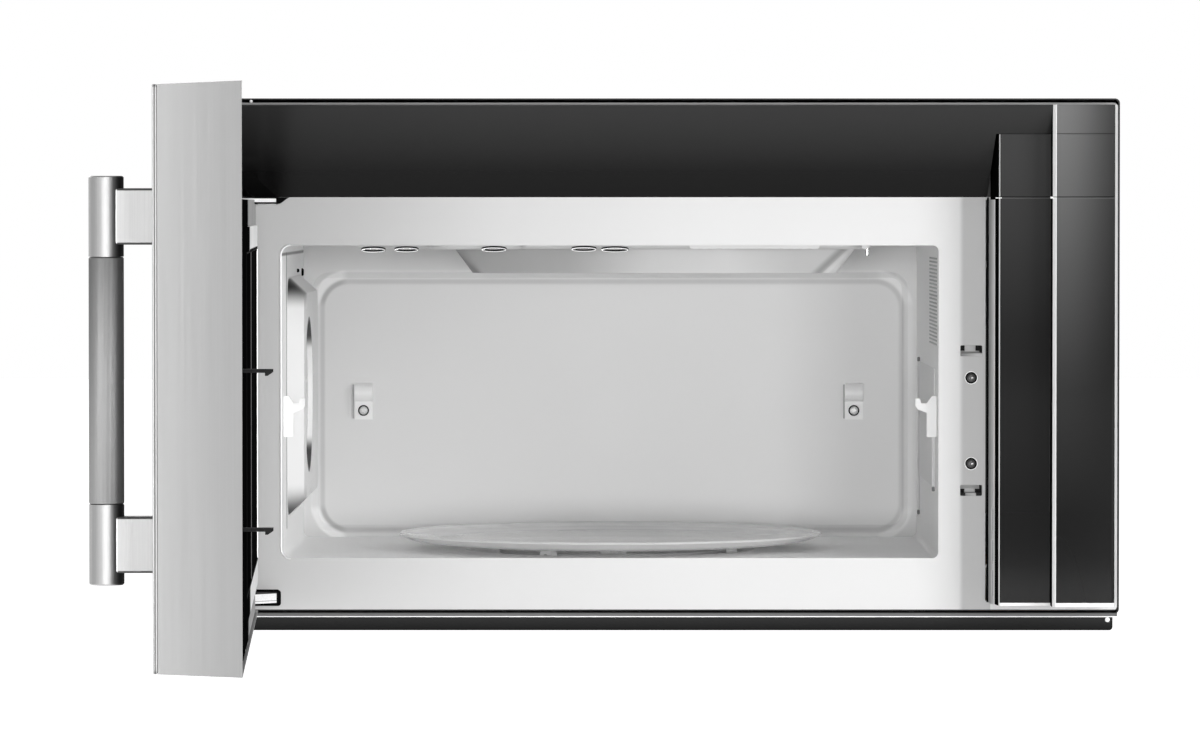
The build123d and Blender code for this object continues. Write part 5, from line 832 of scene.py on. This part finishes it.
class Shape:
    """A mesh in the making. Lengths are millimetres of the row frame."""

    def __init__(self):
        self.mesh = bmesh.new()

    def ring(self, spots):
        return [self.mesh.verts.new(spot) for spot in spots]

    def bridge(self, one, two):
        """Faces between two closed rings of as many points, or of one point."""
        for i in range(max(len(one), len(two))):
            corners = [one[i % len(one)], one[(i + 1) % len(one)], two[(i + 1) % len(two)], two[i % len(two)]]
            self.mesh.faces.new(list(dict.fromkeys(corners)))

    def block(self, low, high, edge=0.0, steps=2):
        """A box between two corners, with its edges rounded."""
        low, high = Vector(low), Vector(high)
        middle = Matrix.Translation((low + high) / 2) @ Matrix.Diagonal((*(high - low), 1))
        verts = bmesh.ops.create_cube(self.mesh, size=1.0, matrix=middle)["verts"]
        if edge:
            rims = list({rim for vert in verts for rim in vert.link_edges})
            bmesh.ops.bevel(
                self.mesh, geom=rims, offset=edge, segments=steps, profile=0.5, affect="EDGES",
                clamp_overlap=True,
            )
        return self

    def prism(self, outline, depth, at):
        """An outline of (u, v) points carried by depth, placed by at(u, v, w)."""
        near = self.ring([at(u, v, 0) for u, v in outline])
        far = self.ring([at(u, v, depth) for u, v in outline])
        self.mesh.faces.new(near)
        self.mesh.faces.new(far[::-1])
        self.bridge(near, far)
        return self

    def turned(self, outline, at, steps=48, wave=None):
        """An outline of (radius, height) points turned about an axis, placed by at(x, y, height)."""
        rings = []
        for radius, height in outline:
            if radius == 0:
                rings.append(self.ring([at(0, 0, height)]))
                continue
            spots = []
            for i in range(steps):
                angle = 2 * pi * i / steps
                span = wave(angle, radius) if wave else radius
                spots.append(at(span * cos(angle), span * sin(angle), height))
            rings.append(self.ring(spots))
        for one, two in zip(rings, rings[1:]):
            self.bridge(one, two)
        return self

    def tube(self, points, radius, steps=12, closed=False):
        """A round wire along points."""
        points = [Vector(point) for point in points]
        count = len(points)
        rings = []
        side = None
        for i, point in enumerate(points):
            if closed:
                ahead = points[(i + 1) % count] - points[i - 1]
            else:
                ahead = points[min(i + 1, count - 1)] - points[max(i - 1, 0)]
            ahead.normalize()
            side = ahead.orthogonal() if side is None else side
            side = (side - ahead * side.dot(ahead)).normalized()
            other = ahead.cross(side)
            turns = [2 * pi * k / steps for k in range(steps)]
            rings.append(self.ring([point + radius * (cos(a) * side + sin(a) * other) for a in turns]))
        for one, two in zip(rings, rings[1:]):
            self.bridge(one, two)
        if closed:
            self.bridge(rings[-1], rings[0])
        else:
            self.mesh.faces.new(rings[0][::-1])
            self.mesh.faces.new(rings[-1])
        return self

    def piece(self, name, finish, body="cabinet", slot=None, on_door=False, sharp=35):
        """Ends the mesh as a named piece that rides on a body."""
        bmesh.ops.recalc_face_normals(self.mesh, faces=self.mesh.faces)
        metres = Matrix.Scale(0.001, 4)
        self.mesh.transform(metres @ door_turn if on_door else metres)
        data = bpy.data.meshes.new(name)
        self.mesh.to_mesh(data)
        self.mesh.free()
        data.polygons.foreach_set("use_smooth", [True] * len(data.polygons))
        data.set_sharp_from_angle(angle=radians(sharp))
        data.materials.append(materials[finish])
        made = bpy.data.objects.new(name, data)
        bpy.context.scene.collection.objects.link(made)
        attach(made, body)
        return made


# ------------------------------------------------------------------ handle


def knurled_grip():
    """The steel sleeve with its straight knurl."""
    low, high = corners_of("handle_grip")
    middle = (low + high) / 2
    radius = (high.y - low.y) / 2
    tall = high.z - low.z
    flutes = 84
    groove = 0.24
    lip = 1.2

    def flute(angle, span):
        tooth = 0.5 + 0.5 * cos(flutes * angle)
        return span - groove * tooth if span > radius - 0.3 else span

    def at(x, y, height):
        return (middle.x + x, middle.y + y, low.z + height)

    outline = [
        (radius - 2, 0), (radius - 0.9, 0), (radius - 0.35, lip / 2), (radius, lip), (radius, tall - lip),
        (radius - 0.35, tall - lip / 2), (radius - 0.9, tall), (radius - 2, tall),
    ]
    sleeve = Shape().turned(outline, at, flutes * 6, flute)
    grip = sleeve.piece("knurled_grip", "grip", "door", "stainless", sharp=60)
    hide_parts("handle_grip")


knurled_grip()

# ------------------------------------------------------------------ screws


def from_front(reach):
    """Places an outline of (X, Z) points on a plane in front of the plate, carried forwards."""
    return lambda u, v, w: (u, FRONT - reach - w, v)


def screw_heads():
    """Pan heads with a cross recess in a ring of painted shadow, where the CAD has its plain screws; those on the
    plate are painted darker as painted shade and carry painted highlights.
    """
    heads, rims, dark, glints = Shape(), Shape(), Shape(), Shape()
    for low, high in islands("pan_screws"):
        radius = (high.x - low.x) / 2
        tall = high.y - low.y
        x, z = (low.x + high.x) / 2, (low.z + high.z) / 2
        out = 1 if high.y > -20 and low.y > -20 else -1
        foot = low.y if out > 0 else high.y
        if out < 0:
            radius *= 1.12

        def at(u, v, w):
            return (x + u, foot + out * w, z + v)

        def recess(angle, span):
            if span > radius * 0.55:
                return span
            turn = (angle + pi / 4) % (pi / 2) - pi / 4
            return min(span / cos(turn), 0.3 * span / max(abs(sin(turn)), 1e-3))

        dome = [
            (radius, tall * 0.2), (radius, tall * 0.5), (radius * 0.88, tall * 0.82), (radius * 0.64, tall),
            (radius * 0.5, tall), (radius * 0.42, tall * 0.35), (0, tall * 0.3),
        ]
        on_plate = low.x > 240
        # the plate's screws take the darker paint as painted shade
        (dark if on_plate else heads).turned(dome, at, 64, recess)
        rim = radius + 1.1
        # a ring of painted shadow round the head
        if out < 0:
            rims.turned([(0, 0), (rim, 0), (rim, tall * 0.3), (0, tall * 0.3)], at, 48)
        # painted highlights: a bright ring and a small spot on the head
        if on_plate:
            edge = rim + 0.6
            glints.turned([(rim, 0), (edge, 0), (edge, 0.15), (rim, 0.15)], at, 48)
            glints.turned(
                [(0, tall * 0.3), (1.0, tall * 0.3), (0.8, tall * 0.6), (0, tall * 0.7)],
                lambda u, v, w, at=at: at(u + 0.8, v - 0.3, w), 16,
            )
    made = heads.piece("screw_heads", "screw", slot="steel", sharp=30)
    also = dark.piece("plate_screws", "shaded_screw", slot="steel", sharp=30)
    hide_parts("pan_screws")
    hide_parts("pan_screws")
    rims.piece("screw_shadows", "shade", slot="black_plastic")
    glints.piece("screw_glints", "bright", slot="chrome")


screw_heads()

# ------------------------------------------------------------------ latch pockets and hinge slots

POCKET_BACK = -388.0
UPPER_POCKET = (256.3, 231.5)
LOWER_POCKET = (256.3, 116.0)


def latch_inlays():
    """The light tongue and the shelf that show inside each latch pocket, the shelf in a grey of painted shade."""
    x, z = UPPER_POCKET
    shelf, tongue = Shape(), Shape()
    shelf.block((x - 8.6, POCKET_BACK - 0.6, z - 4.6), (x + 8.6, POCKET_BACK - 0.1, z - 0.4))
    tongue.block((x - 3.6, POCKET_BACK - 1.0, z - 0.9), (x + 5.4, POCKET_BACK - 0.2, z + 4.4), 0.2)
    x, z = LOWER_POCKET
    shelf.block((x - 8.6, POCKET_BACK - 0.6, z + 0.4), (x + 8.6, POCKET_BACK - 0.1, z + 4.4))
    tongue.block((x - 3.6, POCKET_BACK - 1.0, z - 4.6), (x + 5.0, POCKET_BACK - 0.2, z + 0.9), 0.2)
    # the shelf is painted grey as painted shade
    shelf.piece("latch_shelves", "grey_shade", slot="black_plastic")
    tongue.piece("latch_tongues", "pale", slot="white_plastic")


def hinge_slot_shades():
    """Black sheets of painted shade in the slots where the hinge arms come out of the plate."""
    upper = [(-350, 358.3), (-350, 352.9), (-315.8, 352.9)]
    steps = 12
    for i in range(steps + 1):
        share = i / steps
        upper.append((-315.8 + 10.4 * share, 352.9 + 5.4 * (0.5 - 0.5 * cos(pi * share))))
    lower = [(-336, 20.3), (-336, 33.5)]
    for i in range(7):
        angle = pi / 2 * (1 - i / 6)
        lower.append((-316.4 + 2.5 * cos(angle), 31.0 + 2.5 * sin(angle)))
    for i in range(7):
        angle = -pi / 2 * i / 6
        lower.append((-316.4 + 2.5 * cos(angle), 22.8 + 2.5 * sin(angle)))
    slot_shades = Shape().prism(upper, 0.3, from_front(0)).prism(lower, 0.3, from_front(0))
    slot_shades.piece("hinge_slot_shades", "shade", slot="rubber")


def plate_lines():
    """The black gap beside the column and the bright bead of the opening's left edge."""
    gap = Shape().block((269.9, FRONT - 0.25, 23.5), (271.4, FRONT, 358.3))
    gap.piece("column_gap", "shade", slot="black_plastic")
    low, high, corner = 59.6, 318.8, 8.0
    path = []
    for i in range(7):
        angle = pi / 2 + pi / 2 * i / 6
        path.append((-304.6 + corner * cos(angle), FRONT, high - corner + corner * sin(angle)))
    for i in range(7):
        angle = pi + pi / 2 * i / 6
        path.append((-304.6 + corner * cos(angle), FRONT, low + corner + corner * sin(angle)))
    path = [(x - 1.2, y + 0.4, z) for x, y, z in path]
    Shape().tube(path, 1.0, 10).piece("opening_bead", "glint", slot="enamel")


latch_inlays()
hinge_slot_shades()
plate_lines()

# ------------------------------------------------------------------ cavity fittings

RIGHT_WALL = 230.0
LEFT_WALL = -311.6
BACK_WALL = -32.0


def clip_shades():
    """A narrow strip of painted shadow at the left of each clip on the back."""
    shape = Shape()
    for low, high in islands("rack_supports"):
        if low.y > -120:
            shape.block((low.x - 1.6, BACK_WALL - 0.3, low.z + 1), (low.x - 0.2, BACK_WALL, high.z - 1))
    shape.piece("clip_shades", "grey_shade", slot="enamel")


def wall_slots():
    """Fine air slots as grey strips of painted shade, and the inlet cover with its bright edges on the right wall.
    """
    slots = Shape()
    # the slots are grey strips of painted shade
    for i in range(24):
        z = 236.0 + 3.1 * i
        slots.block((RIGHT_WALL - 0.25, FRONT + 25, z - 0.75), (RIGHT_WALL, FRONT + 150, z + 0.75), 0.1, 1)
    slots.piece("wall_slots", "grey_shade", slot="enamel")
    cover = Shape().block((RIGHT_WALL - 0.8, FRONT + 60, 115.5), (RIGHT_WALL, FRONT + 318, 215.3), 0.35)
    cover.piece("inlet_cover", "mica", slot="enamel")
    edges = Shape()
    edges.tube([(RIGHT_WALL - 1.4, FRONT + 318, 84), (RIGHT_WALL - 1.4, FRONT + 318, 216)], 1.3, 8)
    edges.tube([(RIGHT_WALL - 1.1, FRONT + 61, 116), (RIGHT_WALL - 1.1, FRONT + 61, 178)], 1.2, 8)
    edges.piece("inlet_edges", "glint", slot="chrome")
    pins = Shape()
    for y, z in ((318, 217.0), (318, 83.0), (61, 114.5)):
        pins.block((RIGHT_WALL - 2.4, FRONT + y - 2, z - 2), (RIGHT_WALL, FRONT + y + 2, z + 2), 0.8)
    pins.piece("inlet_pins", "knob", slot="steel")


def wall_screws():
    """Screws of the left hook plate and of the fan cover, seen edge on."""
    shape = Shape()
    for y, z, wide in ((-367, 166.0, 4.4), (-95.0, 293.3, 3.4), (-178.0, 295.5, 1.6)):

        def at(u, v, w):
            return (LEFT_WALL + w, y + u, z + v)

        shape.turned([(0, 0), (wide, 0), (wide, 1.1), (wide * 0.7, 1.9), (0, 2.0)], at, 32)
    shape.piece("wall_screws", "shade", slot="steel")


def ceiling_fittings():
    """Spring loops that hold the grill tube, the lamp strip and the probe pin under the ceiling."""
    loops = Shape()
    dark = Shape()
    for left, right, z in (
        (-246.9, -227.8, 314.6), (-219.5, -200.5, 314.8), (-147.5, -127.7, 315.0), (-73.1, -53.2, 315.2),
        (-48.2, -26.7, 314.8),
    ):
        middle, half = (left + right) / 2, (right - left) / 2
        path = []
        for i in range(24):
            angle = 2 * pi * i / 24
            path.append((middle + half * cos(angle), -403.2 + 0.8 * cos(angle), z + 1.5 * sin(angle)))
        loops.tube(path, 0.6, 8, closed=True)
        # dark copies of the loops, set back, as painted shadow
        dark.tube([(x, y + 0.9, z + 0.9) for x, y, z in path], 0.7, 8, closed=True)
    loops.piece("tube_springs", "chrome", slot="chrome")
    dark.piece("spring_shades", "shade", slot="black_plastic")
    strip = Shape()
    outline = [(23.6, 319.5)]
    for i in range(28):
        share = i / 27
        outline.append((25 + 106 * share, 315.4 + 0.7 * abs(cos(14 * pi * share))))
    outline.append((132.2, 319.5))
    strip.prism(outline, 2, lambda u, v, w: (u, -401.5 - w, v))
    strip.piece("lamp_strip", "pale", slot="lamp_glass")
    pin = Shape()

    def at(u, v, w):
        return (173.2 + u, FRONT + 60 + v, 320 - w)

    pin.turned([(0, 0), (1.9, 0), (1.9, 9.6), (1.1, 10.6), (0, 10.8)], at, 20)
    pin.piece("probe_pin", "chrome", slot="chrome")


clip_shades()
wall_slots()
wall_screws()
ceiling_fittings()

# ------------------------------------------------------------------ case glints


def case_rivets():
    """Small fasteners painted bright as painted highlights at the base band's right end and on the top edge, and
    painted highlights on the cover seams.
    """
    shape = Shape()
    for x, z, wide, reach in ((370.0, 9.0, 2.0, 0.2), (-338.0, 437.6, 1.3, 0.0)):

        def at(u, v, w):
            return (x + u, FRONT - reach - w + 0.4, z + v)

        shape.turned([(0, 0), (wide, 0), (wide, 0.5), (wide * 0.6, 1.1), (0, 1.2)], at, 24)
    shape.piece("case_rivets", "bright", slot="steel")
    # painted highlights on the cover seams
    tick = Shape()
    tick.block((318.2, HIGH_FRONT * 1000 + 0.2, 357.3), (320.5, HIGH_FRONT * 1000 + 3, 358.8), 0.3)
    tick.block((274.6, LOW_FRONT * 1000 - 0.2, 357.4), (279.6, LOW_FRONT * 1000 + 2, 358.2), 0.2)
    tick.piece("seam_highlights", "bright", slot="steel")


case_rivets()

# ------------------------------------------------------------------ door


def window_trim():
    """The rim of the inner window, bright on the side of the hinge, its other three sides black as painted shade.
    """
    low, high = 64.0, 316.6
    left, right = -309.0, 226.0
    plane = -411.3
    path = [
        (left, plane, low), (left, plane, high), (right, plane, high), (right, plane, low),
    ]
    Shape().tube(path[:2], 0.9, 8).piece("window_trim", "glint", "door", "chrome", on_door=True)
    # the other three sides in black as painted shade
    dark = Shape()
    for one, two in zip(path[1:], path[2:] + path[:1]):
        dark.tube([one, two], 0.8, 8)
    dark.piece("window_rim_shade", "shade", "door", "black_plastic", on_door=True)


def words(text, size, at, finish, name):
    """Digits and marks on the door's front, in door coordinates."""
    curve = bpy.data.curves.new(name, "FONT")
    curve.body = text
    curve.size = size
    curve.align_x = "CENTER"
    curve.align_y = "CENTER"
    curve.extrude = 0.1
    holder = bpy.data.objects.new(name, curve)
    bpy.context.scene.collection.objects.link(holder)
    flat = bpy.data.meshes.new_from_object(holder.evaluated_get(bpy.context.evaluated_depsgraph_get()))
    bpy.data.objects.remove(holder)
    shape = Shape()
    shape.mesh.from_mesh(flat)
    x, y, z = at
    stand = Matrix.Translation((x, y, z)) @ Matrix.Rotation(radians(90), 4, "X")
    shape.mesh.transform(stand)
    return shape.piece(name, finish, "door", "dark_glass", on_door=True)


def control_prints():
    """Generic keys with digits and an unlit display on the control glass."""
    front = FRONT - DOOR_DEPTH - 0.05
    middle = 328.0
    words("12:00", 17, (middle, front, 384), "segment", "display_digits")
    labels = "123456789"
    for i, label in enumerate(labels):
        words(label, 11, (middle + 20 * (i % 3 - 1), front, 196 - 24 * (i // 3)), "print", f"key_{label}")
    words("0", 11, (middle, front, 124), "print", "key_0")
    marks = Shape()
    for row in range(5):
        for column in (-1, 1):
            x, z = middle + 17 * column, 336 - 25 * row
            marks.block((x - 9, front - 0.1, z - 0.6), (x + 9, front + 0.1, z + 0.6))
            marks.block((x - 6, front - 0.1, z + 4.4), (x + 6, front + 0.1, z + 5.6))
    for x in (-20, 20):
        marks.block((middle + x - 6, front - 0.1, 123.4), (middle + x + 6, front + 0.1, 124.6))
    marks.piece("key_marks", "print", "door", "dark_glass", on_door=True)


window_trim()
control_prints()

# ------------------------------------------------------------------ set and camera

world = bpy.data.worlds.new("studio")
bpy.context.scene.world = world
world.use_nodes = True
world.node_tree.nodes.clear()
air = Weave(world.node_tree)
east, north, up = air.axes(air.node("ShaderNodeTexCoord"))
glow = air.grade(up * 0.35 - north * 0.15 + 0.5, (0.1, grey(120)), (0.9, grey(232)))
soft = air.node("ShaderNodeBackground", {}, {"Color": glow, "Strength": 0.4})
white = air.node("ShaderNodeBackground", {}, {"Color": (1, 1, 1, 1), "Strength": 1.0})
seen = air.node("ShaderNodeLightPath")
through = Signal(air, seen.socket.node.outputs["Is Transmission Ray"])
mirrored = Signal(air, seen.socket.node.outputs["Is Glossy Ray"]) * north.ramp(0.1, 0.6)
choice = air.node("ShaderNodeMixShader", {}, {0: seen.most(through).most(mirrored), 1: soft, 2: white})
air.node("ShaderNodeOutputWorld", {}, {"Surface": choice})

EYE_DISTANCE = 5.30           # from the front plate
EYE_HEIGHT = 0.352
EYE_SIDE = -0.0416
PIXELS = 6413.0               # focal length in pixels of the 1200 wide photograph
VANISH = (610.0, 205.0)       # where lines straight into the wall meet

camera_data = bpy.data.cameras.new("eye")
camera_data.sensor_width = 36.0
camera_data.lens = 36.0 * PIXELS / 1200
camera_data.clip_end = 100
camera = bpy.data.objects.new("eye", camera_data)
bpy.context.scene.collection.objects.link(camera)
camera.location = (EYE_SIDE, FRONT / 1000 - EYE_DISTANCE, EYE_HEIGHT)
tilt = atan2(378.0 - VANISH[1], PIXELS)
swing = atan2(VANISH[0] - 600.0, PIXELS)
camera.rotation_euler = Euler((pi / 2 - tilt, 0, swing), "XYZ")
bpy.context.scene.camera = camera


def lamp(name, size, place, aim, power):
    data = bpy.data.lights.new(name, "AREA")
    data.shape = "RECTANGLE"
    data.size, data.size_y = size
    data.energy = power
    made = bpy.data.objects.new(name, data)
    made.location = place
    made.rotation_euler = (Vector(aim) - Vector(place)).to_track_quat("-Z", "Y").to_euler()
    bpy.context.scene.collection.objects.link(made)


lamp("front", (3.3, 1.8), (-0.95, -12.0, 0.05), (-0.1, -0.4, 0.2), 480)
lamp("left", (1.2, 2.0), (-3.6, -4.4, 0.4), (-0.4, -1.0, 0.2), 12)
lamp("front_right", (2.0, 1.8), (2.9, -12.0, 0.25), (-0.1, -0.4, 0.2), 222)
lamp("right", (1.6, 2.2), (3.4, -3.2, 1.3), (0, -0.4, 0.2), 90)
lamp("above", (2.4, 1.6), (0.2, -1.8, 3.0), (0, -0.4, 0.2), 10)
lamp("rear", (2.4, 1.8), (-2.2, 4.6, 2.4), (0, 0, 0.2), 90)

FLOOR_Z = -0.62
floor_mesh = bpy.data.meshes.new("floor")
floor_corners = [(x, y, FLOOR_Z) for x, y in ((-30, -30), (30, -30), (30, 30), (-30, 30))]
floor_mesh.from_pydata(floor_corners, [], [(0, 1, 2, 3)])
floor = bpy.data.objects.new("floor", floor_mesh)
bpy.context.scene.collection.objects.link(floor)
pale = Finish("floor", grey(236), 0.9, **{"Emission Strength": 1.0})
cloud = pale.noise(0.6, 2.0)
looked = pale.node("ShaderNodeLightPath")
mirrored = Signal(pale, looked.socket.node.outputs["Is Glossy Ray"])
through = Signal(pale, looked.socket.node.outputs["Is Transmission Ray"])
pale.feed(
    Base_Color=pale.grade(cloud, (0.3, grey(234)), (0.7, grey(238))),
    Emission_Color=pale.blend(looked.most(mirrored).most(through), (0, 0, 0, 1), (0.9, 0.9, 0.9, 1)),
)
floor_mesh.materials.append(pale.material)
floor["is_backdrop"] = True

bpy.context.scene.view_settings.view_transform = "Standard"

[[list(map(float, corner)) for corner in box] for box in (cad_box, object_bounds())]
